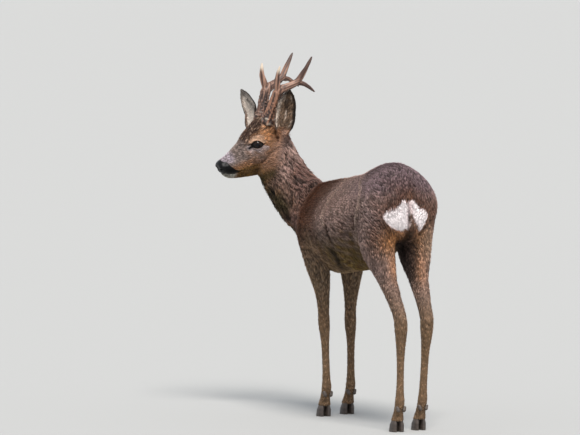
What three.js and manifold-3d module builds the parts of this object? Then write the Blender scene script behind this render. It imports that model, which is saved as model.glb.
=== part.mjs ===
// A life-size roebuck standing square with its head turned over its left shoulder, in millimetres.
// +Z is up, the animal faces -Y and its left side is +X. The soles stand on z = 0.
// The flesh is modelled whole, as lofts through oval rings, and then parted by thin cuts.
import * as THREE from "three";
import { mergeVertices } from "three/addons/utils/BufferGeometryUtils.js";
import Module from "manifold-3d";

// ---------------------------------------------------------------- driving sizes
const GAP = 0.3; // clear space between two pieces that touch on the animal
const BACK_HEIGHT = 630; // the middle of the back above the ground
const CROUP_HEIGHT = 675; // the rump is the highest point of the back
const CHEST_FLOOR = 368; // underside of the breastbone between the elbows
const CHEST_FRONT = -318; // foremost point of the breast
const RUMP_END = 308; // rearmost point of the buttocks
const CHEST_HALF_WIDTH = 98;
const BELLY_HALF_WIDTH = 108;

const HEAD_LENGTH = 220; // nose to the back of the skull
const HEAD_PIVOT = 190; // the joint with the neck, measured back from the nose
const HEAD_AT = new THREE.Vector3(64, -402, 699); // that joint in the body's frame
const HEAD_YAW = THREE.MathUtils.degToRad(92); // turned to its left
const HEAD_PITCH = THREE.MathUtils.degToRad(20); // nose down
const HEAD_ROLL = THREE.MathUtils.degToRad(7); // left side down

const EYE_RADIUS = 15.2;
const EYE_AT = new THREE.Vector3(32, 117, 20); // left eye: out, back from the nose, up
const EAR_LENGTH = 124;
const EAR_HALF_WIDTH = 27.5;
const CORONET_AT = new THREE.Vector3(19, 166, 63);
const CORONET_RADIUS = 17;

const CORONET_BAND = 34; // height of the hair edge above the hoof
const CLAW_LENGTH = 46;
const CLAW_WIDTH = 17;
const DEWCLAW_HEIGHT = 60;
const FLANK_X = -6; // the hindquarters stand a little to the right of the shoulders

// ---------------------------------------------------------------- colours
const coat = material("coat", 0x6b5a4f, 0.92);
const faceCoat = material("face_coat", 0x84664a, 0.9);
const rumpCoat = material("tail_hair", 0xd9cdb8, 0.9);
const earCoat = material("ear_coat", 0x6f5a47, 0.9);
const antlerBone = material("antler", 0x7a4f3c, 0.55);
const horn = material("hoof_horn", 0x26211e, 0.45);
const eyeGlass = material("eye", 0x0c0a0a, 0.08);

function material(name, color, roughness) {
  const made = new THREE.MeshStandardMaterial({ color, roughness, metalness: 0 });
  made.name = name;
  return made;
}

// ---------------------------------------------------------------- lofts
const wasm = await Module();
wasm.setup();
const v3 = (x, y, z) => new THREE.Vector3(x, y, z);

// Every number of a list of stations, at any place between them, along a smooth curve.
function between(stations, place) {
  const last = stations.length - 1;
  const at = THREE.MathUtils.clamp(place, 0, 1) * last;
  const i = Math.min(Math.floor(at), last - 1);
  const t = at - i;
  const near = (k) => stations[THREE.MathUtils.clamp(k, 0, last)];
  const result = {};
  for (const key of Object.keys(stations[0])) {
    const [a, b, c, d] = [near(i - 1)[key], near(i)[key], near(i + 1)[key], near(i + 2)[key]];
    const slopeIn = (c - a) / 2;
    const slopeOut = (d - b) / 2;
    const rise = c - b;
    result[key] =
      b + t * (slopeIn + t * (3 * rise - 2 * slopeIn - slopeOut + t * (slopeIn + slopeOut - 2 * rise)));
  }
  return result;
}

// A point of an oval ring: `wide` is its half width, `up` and `down` reach above and below the
// centre, `ridge` and `keel` narrow its top and its underside, and `full` squares its corners.
function ovalPoint(ring, angle, grow) {
  const squared = (value) => Math.sign(value) * Math.abs(value) ** (1 - (ring.full ?? 0));
  const c = squared(Math.cos(angle));
  const s = squared(Math.sin(angle));
  const reach = (s > 0 ? ring.up : ring.down) + grow;
  const narrow = 1 - (s > 0 ? ring.ridge : ring.keel) * s * s;
  return [(ring.wide + grow) * c * narrow, reach * s];
}

// Joins rings of points, each a list of Vector3 of the same length, into one closed body.
function skinOver(rings) {
  const around = rings[0].length;
  const points = rings.flat();
  const faces = [];
  for (let r = 0; r + 1 < rings.length; r++) {
    for (let k = 0; k < around; k++) {
      const a = r * around + k;
      const b = r * around + ((k + 1) % around);
      faces.push(a, b, b + around, a, b + around, a + around);
    }
  }
  for (const [start, turn] of [[0, 1], [(rings.length - 1) * around, 0]]) {
    const middle = v3(0, 0, 0);
    for (let k = 0; k < around; k++) middle.addScaledVector(points[start + k], 1 / around);
    const centre = points.push(middle) - 1;
    for (let k = 0; k < around; k++) {
      const a = start + k;
      const b = start + ((k + 1) % around);
      faces.push(...(turn ? [centre, b, a] : [centre, a, b]));
    }
  }
  const geometry = new THREE.BufferGeometry().setFromPoints(points);
  geometry.setIndex(faces);
  const solid = solidOf(geometry);
  return solid.volume() > 0 ? solid : solidOf(turnedOver(geometry));
}

function turnedOver(geometry) {
  const index = geometry.index.array;
  for (let i = 0; i < index.length; i += 3) [index[i + 1], index[i + 2]] = [index[i + 2], index[i + 1]];
  return geometry;
}

function solidOf(source) {
  const bare = source.clone();
  bare.deleteAttribute("normal");
  bare.deleteAttribute("uv");
  const merged = mergeVertices(bare, 1e-4);
  return new wasm.Manifold(
    new wasm.Mesh({
      numProp: 3,
      vertProperties: new Float32Array(merged.attributes.position.array),
      triVerts: new Uint32Array(merged.index.array),
    }),
  );
}

// A swelling of the surface: muscle, bone or fold. `push` may be negative for a hollow.
function swell(point, outward, swellings) {
  for (const { at, size, push } of swellings) {
    const d =
      ((point.x - at.x) / size.x) ** 2 + ((point.y - at.y) / size.y) ** 2 + ((point.z - at.z) / size.z) ** 2;
    if (d < 6) point.addScaledVector(outward, push * Math.exp(-d));
  }
  return point;
}

// A body of oval rings, each in the plane of `side` and `rise`, with its middle at `centre`.
function loft({ stations, rings, around, place, swellings = [], grow = 0 }) {
  const made = [];
  for (let r = 0; r < rings; r++) {
    const ring = between(stations, r / (rings - 1));
    const { centre, side, rise, shift = v3(0, 0, 0) } = place(ring);
    const edge = grow * (r === 0 ? -1 : r === rings - 1 ? 1 : 0);
    const loop = [];
    for (let k = 0; k < around; k++) {
      const [across, upward] = ovalPoint(ring, (2 * Math.PI * k) / around, grow);
      const outward = side.clone().multiplyScalar(across).addScaledVector(rise, upward);
      const point = centre.clone().add(outward).addScaledVector(shift, edge);
      loop.push(swell(point, outward.normalize(), swellings));
    }
    made.push(loop);
  }
  return skinOver(made);
}

const mirrored = (swellings) =>
  swellings.flatMap((one) => [one, { ...one, at: v3(-one.at.x, one.at.y, one.at.z) }]);

// ---------------------------------------------------------------- trunk
// Rings across the body from the breast to the buttocks: back line, belly line, half width.
const TRUNK = [
  { y: CHEST_FRONT, top: 520, bottom: 462, wide: 20, ridge: 0, keel: 0, x: 6 },
  { y: CHEST_FRONT + 14, top: 556, bottom: 432, wide: 46, ridge: 0.1, keel: 0.1, x: 6 },
  { y: CHEST_FRONT + 48, top: 584, bottom: 402, wide: 68, ridge: 0.25, keel: 0.25, x: 5 },
  { y: -215, top: 602, bottom: 381, wide: 84, ridge: 0.45, keel: 0.35, x: 3 },
  { y: -150, top: 612, bottom: CHEST_FLOOR, wide: CHEST_HALF_WIDTH - 4, ridge: 0.42, keel: 0.35, x: 0 },
  { y: -75, top: 620, bottom: CHEST_FLOOR + 6, wide: 102, ridge: 0.32, keel: 0.28, x: 0 },
  { y: 0, top: BACK_HEIGHT, bottom: 386, wide: BELLY_HALF_WIDTH, ridge: 0.26, keel: 0.2, x: 0 },
  { y: 70, top: 642, bottom: 402, wide: 107, ridge: 0.24, keel: 0.2, x: -2 },
  { y: 130, top: 660, bottom: 424, wide: 101, ridge: 0.24, keel: 0.3, x: -4 },
  { y: 180, top: 673, bottom: 446, wide: 99, ridge: 0.22, keel: 0.3, x: -5 },
  { y: 225, top: CROUP_HEIGHT, bottom: 464, wide: 99, ridge: 0.2, keel: 0.3, x: -6 },
  { y: 262, top: 660, bottom: 476, wide: 96, ridge: 0.2, keel: 0.2, x: -6 },
  { y: RUMP_END - 18, top: 624, bottom: 486, wide: 84, ridge: 0.15, keel: 0.1, x: -6 },
  { y: RUMP_END - 5, top: 596, bottom: 500, wide: 62, ridge: 0.1, keel: 0, x: -6 },
  { y: RUMP_END, top: 572, bottom: 518, wide: 34, ridge: 0.1, keel: 0, x: -6 },
].map(({ y, top, bottom, wide, ridge, keel, x }) => {
  const middle = bottom + 0.5 * (top - bottom);
  return { x, y, z: middle, wide, up: top - middle, down: middle - bottom, ridge, keel };
});

const TRUNK_SWELLINGS = [
  ...mirrored([
    { at: v3(70, -205, 505), size: v3(60, 52, 70), push: 4 }, // shoulder blade
    { at: v3(90, -60, 480), size: v3(60, 90, 60), push: 3 }, // ribs
    { at: v3(95, 112, 560), size: v3(60, 34, 60), push: -7 }, // hollow of the flank
    { at: v3(62, 128, 640), size: v3(40, 34, 34), push: 3 }, // point of the hip
    { at: v3(60, 300, 575), size: v3(34, 40, 42), push: 5 }, // buttock
  ]),
  { at: v3(FLANK_X, RUMP_END, 535), size: v3(11, 50, 34), push: -9 }, // cleft under the tail
  { at: v3(0, 62, 396), size: v3(26, 62, 30), push: 9 }, // sheath under the belly
];

function trunkBody(grow = 0) {
  return loft({
    stations: TRUNK,
    rings: 23,
    around: 24,
    grow,
    swellings: TRUNK_SWELLINGS,
    place: ({ x, y, z }) => ({ centre: v3(x, y, z), side: v3(1, 0, 0), rise: v3(0, 0, 1), shift: v3(0, 1, 0) }),
  });
}

// ---------------------------------------------------------------- neck
// Rings along the neck from deep in the chest to the back of the skull. `lean` turns the ring's
// upper side from the body's up (0) to the back of the turned head (1).
const NECK = [
  { x: 2, y: -175, z: 520, wide: 52, up: 52, down: 82, ridge: 0.35, keel: 0.15, lean: 0 },
  { x: 8, y: -232, z: 524, wide: 62, up: 63, down: 92, ridge: 0.4, keel: 0.15, lean: 0.1 },
  { x: 24, y: -288, z: 541, wide: 63, up: 66, down: 88, ridge: 0.4, keel: 0.12, lean: 0.35 },
  { x: 44, y: -336, z: 572, wide: 60, up: 64, down: 74, ridge: 0.35, keel: 0.1, lean: 0.65 },
  { x: 60, y: -372, z: 610, wide: 57, up: 63, down: 66, ridge: 0.3, keel: 0.1, lean: 0.9 },
  { x: 69, y: -394, z: 648, wide: 53, up: 60, down: 62, ridge: 0.25, keel: 0.1, lean: 1 },
  { x: 74, y: -401, z: 682, wide: 44, up: 46, down: 50, ridge: 0.2, keel: 0.1, lean: 1 },
  { x: 78, y: -403, z: 704, wide: 28, up: 26, down: 34, ridge: 0.2, keel: 0.1, lean: 1 },
];

function neckBody(grow = 0) {
  const spine = new THREE.CatmullRomCurve3(NECK.map(({ x, y, z }) => v3(x, y, z)), false, "catmullrom");
  const headBack = v3(-Math.sin(HEAD_YAW), Math.cos(HEAD_YAW), 0.25);
  return loft({
    stations: NECK.map((ring, k) => ({ ...ring, along: k / (NECK.length - 1) })),
    rings: 13,
    around: 18,
    grow,
    place: ({ lean, along }) => {
      const way = spine.getTangent(along);
      const upper = v3(0, 0.55, 1).normalize().lerp(headBack, lean);
      const rise = upper.addScaledVector(way, -upper.dot(way)).normalize();
      return { centre: spine.getPoint(along), rise, side: rise.clone().cross(way).normalize(), shift: way };
    },
  });
}

// ---------------------------------------------------------------- head
// Rings across the head from the nose to the back of the skull, in the head's own frame:
// x to its left, y back from the nose, z up, with the skull level.
const HEAD = [
  { y: 6, top: 0, bottom: -14, wide: 12, ridge: 0, keel: 0 },
  { y: 10, top: 6, bottom: -25, wide: 18, ridge: 0, keel: 0.1 },
  { y: 19, top: 10, bottom: -40, wide: 23, ridge: 0.1, keel: 0.35 },
  { y: 34, top: 14, bottom: -49, wide: 25, ridge: 0.2, keel: 0.4 },
  { y: 54, top: 22, bottom: -55, wide: 28, ridge: 0.3, keel: 0.4 },
  { y: 74, top: 31, bottom: -60, wide: 33, ridge: 0.32, keel: 0.4 },
  { y: 94, top: 43, bottom: -65, wide: 40, ridge: 0.3, keel: 0.4 },
  { y: 112, top: 55, bottom: -69, wide: 45, ridge: 0.25, keel: 0.4 },
  { y: 132, top: 68, bottom: -73, wide: 48, ridge: 0.25, keel: 0.38 },
  { y: 152, top: 73, bottom: -75, wide: 49, ridge: 0.25, keel: 0.3 },
  { y: 172, top: 67, bottom: -72, wide: 49, ridge: 0.2, keel: 0.25 },
  { y: 192, top: 52, bottom: -62, wide: 47, ridge: 0.15, keel: 0.2 },
  { y: 208, top: 38, bottom: -46, wide: 40, ridge: 0.1, keel: 0.1 },
  { y: HEAD_LENGTH, top: 14, bottom: -18, wide: 20, ridge: 0, keel: 0 },
].map(({ y, top, bottom, wide, ridge, keel }) => {
  const middle = bottom + 0.52 * (top - bottom);
  return { y, z: middle, wide, up: top - middle, down: middle - bottom, ridge, keel };
});

const HEAD_SWELLINGS = mirrored([
  { at: v3(40, 115, 36), size: v3(26, 26, 15), push: 11 }, // bony rim over the eye
  { at: v3(42, 122, -2), size: v3(30, 34, 14), push: 3 }, // cheek bone
  { at: v3(34, 80, 6), size: v3(26, 24, 16), push: -4 }, // hollow in front of the eye
  { at: v3(38, 150, -40), size: v3(26, 26, 28), push: 4 }, // jaw muscle
  { at: v3(16, 12, -6), size: v3(14, 12, 10), push: 2.5 }, // nostril wing
  { at: v3(20, 156, 64), size: v3(15, 16, 16), push: 6 }, // foot of the antler
]);

function headBody(grow = 0) {
  return loft({
    stations: HEAD,
    rings: 23,
    around: 22,
    grow,
    swellings: HEAD_SWELLINGS,
    place: ({ y, z }) => ({ centre: v3(0, y, z), side: v3(1, 0, 0), rise: v3(0, 0, 1), shift: v3(0, 1, 0) }),
  });
}

// From the head's own frame to the body's.
const headToBody = new THREE.Matrix4()
  .makeTranslation(HEAD_AT)
  .multiply(new THREE.Matrix4().makeRotationZ(HEAD_YAW))
  .multiply(new THREE.Matrix4().makeRotationX(HEAD_PITCH))
  .multiply(new THREE.Matrix4().makeRotationY(HEAD_ROLL))
  .multiply(new THREE.Matrix4().makeTranslation(0, -HEAD_PIVOT, 0));

const inBody = (solid) => solid.transform(headToBody.elements);

// ---------------------------------------------------------------- legs
// Level rings down a leg. `x` is out from the body's middle, `front` and `back` reach along Y.
const FORELEG = [
  { z: 592, x: 22, y: -188, wide: 6, front: 14, back: 18 },
  { z: 570, x: 29, y: -194, wide: 18, front: 34, back: 42 },
  { z: 538, x: 42, y: -200, wide: 27, front: 50, back: 60 },
  { z: 500, x: 51, y: -205, wide: 33, front: 59, back: 66 },
  { z: 460, x: 54, y: -202, wide: 34, front: 60, back: 62 },
  { z: 420, x: 53, y: -186, wide: 32, front: 50, back: 50 },
  { z: 385, x: 49, y: -172, wide: 30, front: 41, back: 43 },
  { z: 345, x: 45, y: -161, wide: 23, front: 29, back: 30 },
  { z: 305, x: 42, y: -156, wide: 17, front: 20, back: 21 },
  { z: 265, x: 41, y: -155, wide: 14.5, front: 16, back: 15 },
  { z: 237, x: 41, y: -154, wide: 16, front: 17, back: 16.5 },
  { z: 210, x: 41, y: -151, wide: 13, front: 13, back: 14.5 },
  { z: 180, x: 41, y: -149, wide: 10.5, front: 11, back: 12 },
  { z: 135, x: 41, y: -147, wide: 10, front: 10.5, back: 11.5 },
  { z: 98, x: 41, y: -146, wide: 11, front: 11.5, back: 13 },
  { z: 74, x: 41, y: -146, wide: 13.5, front: 13.5, back: 15.5 },
  { z: 54, x: 41, y: -154, wide: 12.5, front: 12.5, back: 14 },
  { z: CORONET_BAND, x: 41, y: -164, wide: 16.5, front: 17, back: 17 },
];

const HINDLEG = [
  { z: 652, x: 30, y: 205, wide: 10, front: 24, back: 22 },
  { z: 628, x: 42, y: 206, wide: 27, front: 56, back: 52 },
  { z: 588, x: 50, y: 208, wide: 40, front: 78, back: 76 },
  { z: 540, x: 54, y: 211, wide: 44, front: 86, back: 84 },
  { z: 492, x: 53, y: 212, wide: 41, front: 80, back: 84 },
  { z: 452, x: 51, y: 214, wide: 36, front: 70, back: 79 },
  { z: 416, x: 48, y: 232, wide: 30, front: 57, back: 64 },
  { z: 382, x: 45, y: 259, wide: 22, front: 43, back: 43 },
  { z: 347, x: 43, y: 290, wide: 19, front: 34, back: 34 },
  { z: 314, x: 41, y: 316, wide: 16, front: 29, back: 29 },
  { z: 286, x: 40, y: 334, wide: 15.5, front: 25, back: 26 },
  { z: 260, x: 40, y: 337, wide: 16, front: 23, back: 21 },
  { z: 230, x: 40, y: 335, wide: 13.5, front: 16, back: 16 },
  { z: 190, x: 40, y: 330, wide: 10.5, front: 12, back: 13 },
  { z: 135, x: 40, y: 325, wide: 10, front: 11, back: 12 },
  { z: 98, x: 40, y: 322, wide: 11, front: 11.5, back: 13 },
  { z: 74, x: 40, y: 320, wide: 13.5, front: 13.5, back: 15.5 },
  { z: 54, x: 40, y: 312, wide: 12.5, front: 12.5, back: 14 },
  { z: CORONET_BAND, x: 40, y: 302, wide: 16.5, front: 17, back: 17 },
];

const LEG_FULLNESS = 0.15; // the thigh and the shoulder are squarer in section than the shank

// `step` moves the foot from its place under the body, and the leg leans to follow it.
const LEGS = [
  { name: "front_left", side: 1, shape: FORELEG, step: v3(-4, 14, 0), rootX: 2 },
  { name: "front_right", side: -1, shape: FORELEG, step: v3(2, -22, 0), rootX: 2 },
  { name: "hind_left", side: 1, shape: HINDLEG, step: v3(-6, 6, 0), rootX: FLANK_X },
  { name: "hind_right", side: -1, shape: HINDLEG, step: v3(-4, -18, 0), rootX: FLANK_X },
];

// How far a leg has leaned at a height: nothing above the hip or shoulder, all of it at the hoof.
function leaned({ step }, z) {
  const share = THREE.MathUtils.clamp((470 - z) / (470 - CORONET_BAND), 0, 1);
  return step.clone().multiplyScalar(share);
}

function legBody(leg, grow = 0) {
  const stations = leg.shape.map(({ z, x, y, wide, front, back }) => ({
    z, x, y, wide, up: back, down: front, ridge: 0.08, keel: 0.05,
    full: LEG_FULLNESS * THREE.MathUtils.smoothstep(z, 330, 480),
  }));
  return loft({
    stations,
    rings: 24,
    around: 10,
    grow,
    place: ({ x, y, z }) => {
      const { x: outward, y: backward } = leaned(leg, z);
      const centre = v3(leg.rootX + leg.side * (x + outward), y + backward, z);
      return { centre, side: v3(1, 0, 0), rise: v3(0, 1, 0) };
    },
  });
}

// The point under a leg where its two claws part, on the ground.
function footOf(leg) {
  const end = leg.shape.at(-1);
  const { x, y } = leaned(leg, 0);
  return v3(leg.rootX + leg.side * (end.x + x), end.y + y - 9, 0);
}

// ---------------------------------------------------------------- hooves
// One claw: level rings from its flat sole to the hair edge, pointed at the toe. `out` is +1 for
// the claw on the animal's left of the cleft and -1 for the other.
function claw(foot, out) {
  const levels = [
    { z: 0, length: 1, wide: 1, back: 0 },
    { z: 9, length: 0.9, wide: 1, back: 2 },
    { z: 20, length: 0.75, wide: 0.98, back: 5.5 },
    { z: CORONET_BAND - GAP - 4, length: 0.64, wide: 0.92, back: 8.5 },
    { z: CORONET_BAND - GAP, length: 0.54, wide: 0.78, back: 9.5 },
  ];
  const around = 11;
  const rings = levels.map(({ z, length, wide, back }) => {
    const loop = [];
    for (let k = 0; k < around; k++) {
      const angle = (2 * Math.PI * k) / around;
      const forward = (-Math.sin(angle) * CLAW_LENGTH * length) / 2;
      const toe = Math.max(0, -forward) / (CLAW_LENGTH / 2);
      const half = (CLAW_WIDTH / 2) * wide * Math.cos(angle) * (1 - 0.45 * toe ** 1.5);
      const inward = -out * 0.28 * CLAW_WIDTH * toe ** 2;
      loop.push(v3(foot.x + out * (CLAW_WIDTH / 2 + 0.8) + half + inward, foot.y + back + forward, z));
    }
    return loop;
  });
  const cleft = boxSolid(v3(1.2, 100, 100), foot.clone().add(v3(0, 0, 40)));
  return biggest(skinOver(rings).subtract(cleft));
}

// One dewclaw: a small blunt cone behind the fetlock, its tip down.
function dewclaw(leg, out) {
  const profile = [[0, -10], [5, -6], [5.5, 5], [0, 9]];
  const cone = new THREE.LatheGeometry(profile.map(([radius, height]) => new THREE.Vector2(radius, height)), 7);
  cone.rotateX(Math.PI / 2 + 0.35);
  cone.rotateY(0.25 * out);
  const foot = footOf(leg);
  cone.translate(foot.x + out * 8.5, foot.y + 34, DEWCLAW_HEIGHT);
  return biggest(solidOf(cone).subtract(legBody(leg, GAP)));
}

const biggest = (solid) => solid.decompose().sort((a, b) => b.volume() - a.volume())[0];

// ---------------------------------------------------------------- ears
// A leaf of gristle and hair, rolled to a tube at its foot and opening to a pointed blade.
// Its own frame: z along the ear, -y the way it opens, x across.
const EAR_OUTLINE = [0.42, 0.66, 0.88, 1, 1.02, 0.96, 0.82, 0.55, 0.09].map((share) => ({
  width: share * EAR_HALF_WIDTH,
}));

function earShell() {
  const rows = 10;
  const across = 6;
  const rings = [];
  for (let r = 0; r < rows; r++) {
    const t = (r / (rows - 1)) ** 0.85;
    const width = between(EAR_OUTLINE, t).width;
    const curl = THREE.MathUtils.lerp(2.5, 0.85, Math.min(1, t * 1.9));
    const radius = width / Math.sin(Math.min(curl, Math.PI / 2));
    const thick = THREE.MathUtils.lerp(5.5, 2.4, t);
    const edge = 1.1;
    const loop = [];
    for (let k = 0; k <= across; k++) {
      const a = curl * ((2 * k) / across - 1);
      loop.push(v3(radius * Math.sin(a), radius * Math.cos(a) - radius * 0.6, 0));
    }
    for (let k = across; k >= 0; k--) {
      const share = (2 * k) / across - 1;
      const a = curl * share * 0.97;
      const inner = radius - Math.max(edge, thick * (1 - share * share));
      loop.push(v3(inner * Math.sin(a), inner * Math.cos(a) - radius * 0.6, 0));
    }
    const height = EAR_LENGTH * t;
    const sweep = 10 * t * t;
    rings.push(loop.map((p) => p.setZ(height).setY(p.y + sweep)));
  }
  return skinOver(rings);
}

function ear({ at, lean, tilt, turn }) {
  const place = new THREE.Matrix4()
    .makeTranslation(at)
    .multiply(new THREE.Matrix4().makeRotationY(lean))
    .multiply(new THREE.Matrix4().makeRotationX(tilt))
    .multiply(new THREE.Matrix4().makeRotationZ(turn));
  return earShell().transform(place.elements);
}

const radians = THREE.MathUtils.degToRad;
const EARS = {
  left: { at: v3(41, 183, 24), lean: radians(18.6), tilt: radians(-20.5), turn: radians(70) },
  right: { at: v3(-38, 169, 22), lean: radians(-41.5), tilt: radians(1), turn: radians(24) },
};

// ---------------------------------------------------------------- antlers
// Six points: each beam forks twice. Places are from the coronet: out, back, up.
const ANTLERS = {
  left: {
    middle: v3(6, 25, 36), firstFork: v3(13, 49, 68), frontMiddle: v3(17, 50, 100), frontTip: v3(21, 64, 127),
    beamMiddle: v3(19, 73, 71), secondFork: v3(23, 100, 75), topMiddle: v3(31, 126, 98), topTip: v3(37, 149, 124),
    rearMiddle: v3(27, 118, 62), rearTip: v3(29, 134, 38),
  },
  right: {
    middle: v3(7, 23, 38), firstFork: v3(13, 44, 64), frontMiddle: v3(17, 42, 100), frontTip: v3(21, 52, 126),
    beamMiddle: v3(17, 71, 68), secondFork: v3(23, 97, 74), topMiddle: v3(29, 121, 95), topTip: v3(37, 147, 116),
    rearMiddle: v3(26, 116, 62), rearTip: v3(27, 134, 37),
  },
};

// A round tapering rod along a curve, with a rounded end where `tip` is set.
function rod(points, radii, around = 9, rings = 10, tip = true) {
  const curve = new THREE.CatmullRomCurve3(points);
  const rows = [];
  const frames = curve.computeFrenetFrames(rings - 1, false);
  for (let r = 0; r < rings; r++) {
    const t = r / (rings - 1);
    const radius = between(radii.map((value) => ({ value })), t).value;
    const end = tip && r === rings - 1 ? 0.35 : 1;
    const loop = [];
    for (let k = 0; k < around; k++) {
      const angle = (2 * Math.PI * k) / around;
      loop.push(
        curve
          .getPoint(t)
          .addScaledVector(frames.normals[r], radius * end * Math.cos(angle))
          .addScaledVector(frames.binormals[r], radius * end * Math.sin(angle)),
      );
    }
    rows.push(loop);
  }
  return skinOver(rows);
}

function antlerParts(side, places) {
  const on = (p, x = 0, y = 0, z = 0) =>
    v3(side * (CORONET_AT.x + p.x + x), CORONET_AT.y + p.y + y, CORONET_AT.z + p.z + z);
  const foot = v3(0, 0, 0);
  const { middle, firstFork, frontMiddle, frontTip, beamMiddle, secondFork } = places;
  const { topMiddle, topTip, rearMiddle, rearTip } = places;
  const beam = rod(
    [on(foot, -2, -6, -16), on(foot), on(middle), on(firstFork), on(beamMiddle), on(secondFork), on(topMiddle), on(topTip)],
    [14, 13.5, 10.8, 11.2, 8.6, 8.2, 5.4, 1.5],
    8,
    16,
  );
  const coronet = rod([on(foot, 0, -2, -5), on(foot), on(foot, 1, 3, 7)], [13, CORONET_RADIUS, 12], 8, 3, false);
  const front = rod(
    [on(firstFork, -3, -8, -12), on(firstFork, 1, -1, 10), on(frontMiddle), on(frontTip)],
    [8, 7.4, 5.6, 1.5],
    7,
    7,
  );
  const rear = rod(
    [on(secondFork, -3, -12, 0), on(secondFork, 2, 8, -6), on(rearMiddle), on(rearTip)],
    [6, 5.6, 4.6, 1.4],
    7,
    6,
  );
  const cut = (at, toward, far) => {
    const along = toward.clone().sub(at).normalize();
    return slab(at.clone().addScaledVector(along, far), along, 36, 36);
  };
  const parted = beam
    .add(coronet)
    .add(front)
    .add(rear)
    .subtract(cut(on(firstFork), on(frontMiddle), 13))
    .subtract(cut(on(firstFork), on(beamMiddle), 15))
    .subtract(cut(on(secondFork), on(topMiddle), 12))
    .subtract(cut(on(secondFork), on(rearMiddle), 13));
  return named(parted, {
    beam: on(middle),
    front_tine: on(frontTip),
    middle: on(beamMiddle),
    top_tine: on(topTip),
    rear_tine: on(rearTip),
  });
}

// ---------------------------------------------------------------- cuts
function boxSolid(size, centre, turn = new THREE.Quaternion()) {
  const box = new THREE.BoxGeometry(size.x, size.y, size.z);
  box.applyQuaternion(turn);
  box.translate(centre.x, centre.y, centre.z);
  return solidOf(box);
}

// A thin square plate that parts a body: `normal` is the way across the cut.
function slab(centre, normal, width, height) {
  const turn = new THREE.Quaternion().setFromUnitVectors(v3(0, 0, 1), normal.clone().normalize());
  return boxSolid(v3(width, height, GAP), centre, turn);
}

// Splits a parted body and names each piece by the place that it holds or lies nearest to.
function named(parted, places) {
  const pieces = parted.decompose().filter((piece) => piece.volume() > 1);
  const result = {};
  for (const [name, place] of Object.entries(places)) {
    let best = null;
    for (const piece of pieces) {
      const { min, max } = piece.boundingBox();
      const box = new THREE.Box3(v3(...min), v3(...max));
      const middle = box.getCenter(v3(0, 0, 0)).distanceTo(place);
      const score = box.distanceToPoint(place) * 1000 + middle;
      if (!best || score < best.score) best = { piece, score };
    }
    result[name] = best.piece;
  }
  return result;
}

// The cut behind the skull runs from the nape to the throat, and the one in front of the shoulders
// from the withers to the breast. Each leg is parted along the slope where it leaves the body.
function fleshCuts() {
  const cuts = [
    inBody(slab(v3(0, 158, -20), v3(0, 105, -112), 170, 210)),
    slab(v3(16, -266, 526), v3(0.2, -0.94, 0.42), 260, 250),
  ];
  for (const { side } of LEGS.slice(0, 2)) {
    cuts.push(slab(v3(side * 56, -175, 396), v3(side * -0.594, 0, 0.804), 134, 160));
  }
  for (const { side } of LEGS.slice(2)) {
    cuts.push(slab(v3(FLANK_X + side * 57, 215, 486), v3(side * -0.78, -0.385, 1), 150, 232));
  }
  return cuts;
}

// ---------------------------------------------------------------- tail
// A short tongue of skin and hair lying on the cleft of the rump.
function tailBody() {
  const spine = new THREE.CatmullRomCurve3([
    v3(FLANK_X, 282, 608), v3(FLANK_X, 302, 592), v3(FLANK_X, RUMP_END + 3, 574), v3(FLANK_X, RUMP_END + 4, 558),
  ]);
  return loft({
    stations: [
      { wide: 9, up: 6, down: 6, ridge: 0, keel: 0, along: 0 },
      { wide: 10, up: 6, down: 6, ridge: 0, keel: 0, along: 1 / 3 },
      { wide: 8.5, up: 5, down: 5, ridge: 0, keel: 0, along: 2 / 3 },
      { wide: 3.5, up: 2.5, down: 2.5, ridge: 0, keel: 0, along: 1 },
    ],
    rings: 7,
    around: 8,
    place: ({ along }) => {
      const way = spine.getTangent(along);
      return { centre: spine.getPoint(along), side: v3(1, 0, 0), rise: v3(1, 0, 0).cross(way) };
    },
  });
}

// ---------------------------------------------------------------- eyes
function eyeball(side, grow = 0) {
  const ball = new THREE.SphereGeometry(EYE_RADIUS + grow, 10, 8);
  ball.translate(side * EYE_AT.x, EYE_AT.y, EYE_AT.z);
  return solidOf(ball);
}

// ---------------------------------------------------------------- assembly
const deer = new THREE.Group();
deer.name = "roe_deer";

function put(name, solid, look) {
  const mesh = solid.getMesh();
  const geometry = new THREE.BufferGeometry();
  const xyz = new Float32Array(mesh.numVert * 3);
  for (let i = 0; i < mesh.numVert; i++) {
    xyz.set(mesh.vertProperties.subarray(i * mesh.numProp, i * mesh.numProp + 3), i * 3);
  }
  geometry.setAttribute("position", new THREE.BufferAttribute(xyz, 3));
  geometry.setIndex(new THREE.BufferAttribute(mesh.triVerts, 1));
  geometry.computeVertexNormals();
  const piece = new THREE.Mesh(geometry, look);
  piece.name = name;
  deer.add(piece);
}

const SIDES = [["left", 1], ["right", -1]];

let skull = headBody();
for (const [, sign] of SIDES) skull = skull.subtract(eyeball(sign, GAP));
let flesh = trunkBody().add(neckBody()).add(inBody(skull));
for (const leg of LEGS) flesh = flesh.add(legBody(leg));
for (const cut of fleshCuts()) flesh = flesh.subtract(cut);

const legPlaces = Object.fromEntries(LEGS.map((leg) => ["leg_" + leg.name, footOf(leg).setZ(180)]));
const parts = named(flesh, {
  trunk: v3(0, 20, 520),
  neck: v3(50, -350, 590),
  head: HEAD_AT.clone().add(v3(80, 0, -20)),
  ...legPlaces,
});
for (const [name, solid] of Object.entries(parts)) put(name, solid, name === "head" ? faceCoat : coat);
put("tail", biggest(tailBody().subtract(trunkBody(GAP))), rumpCoat);

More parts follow.
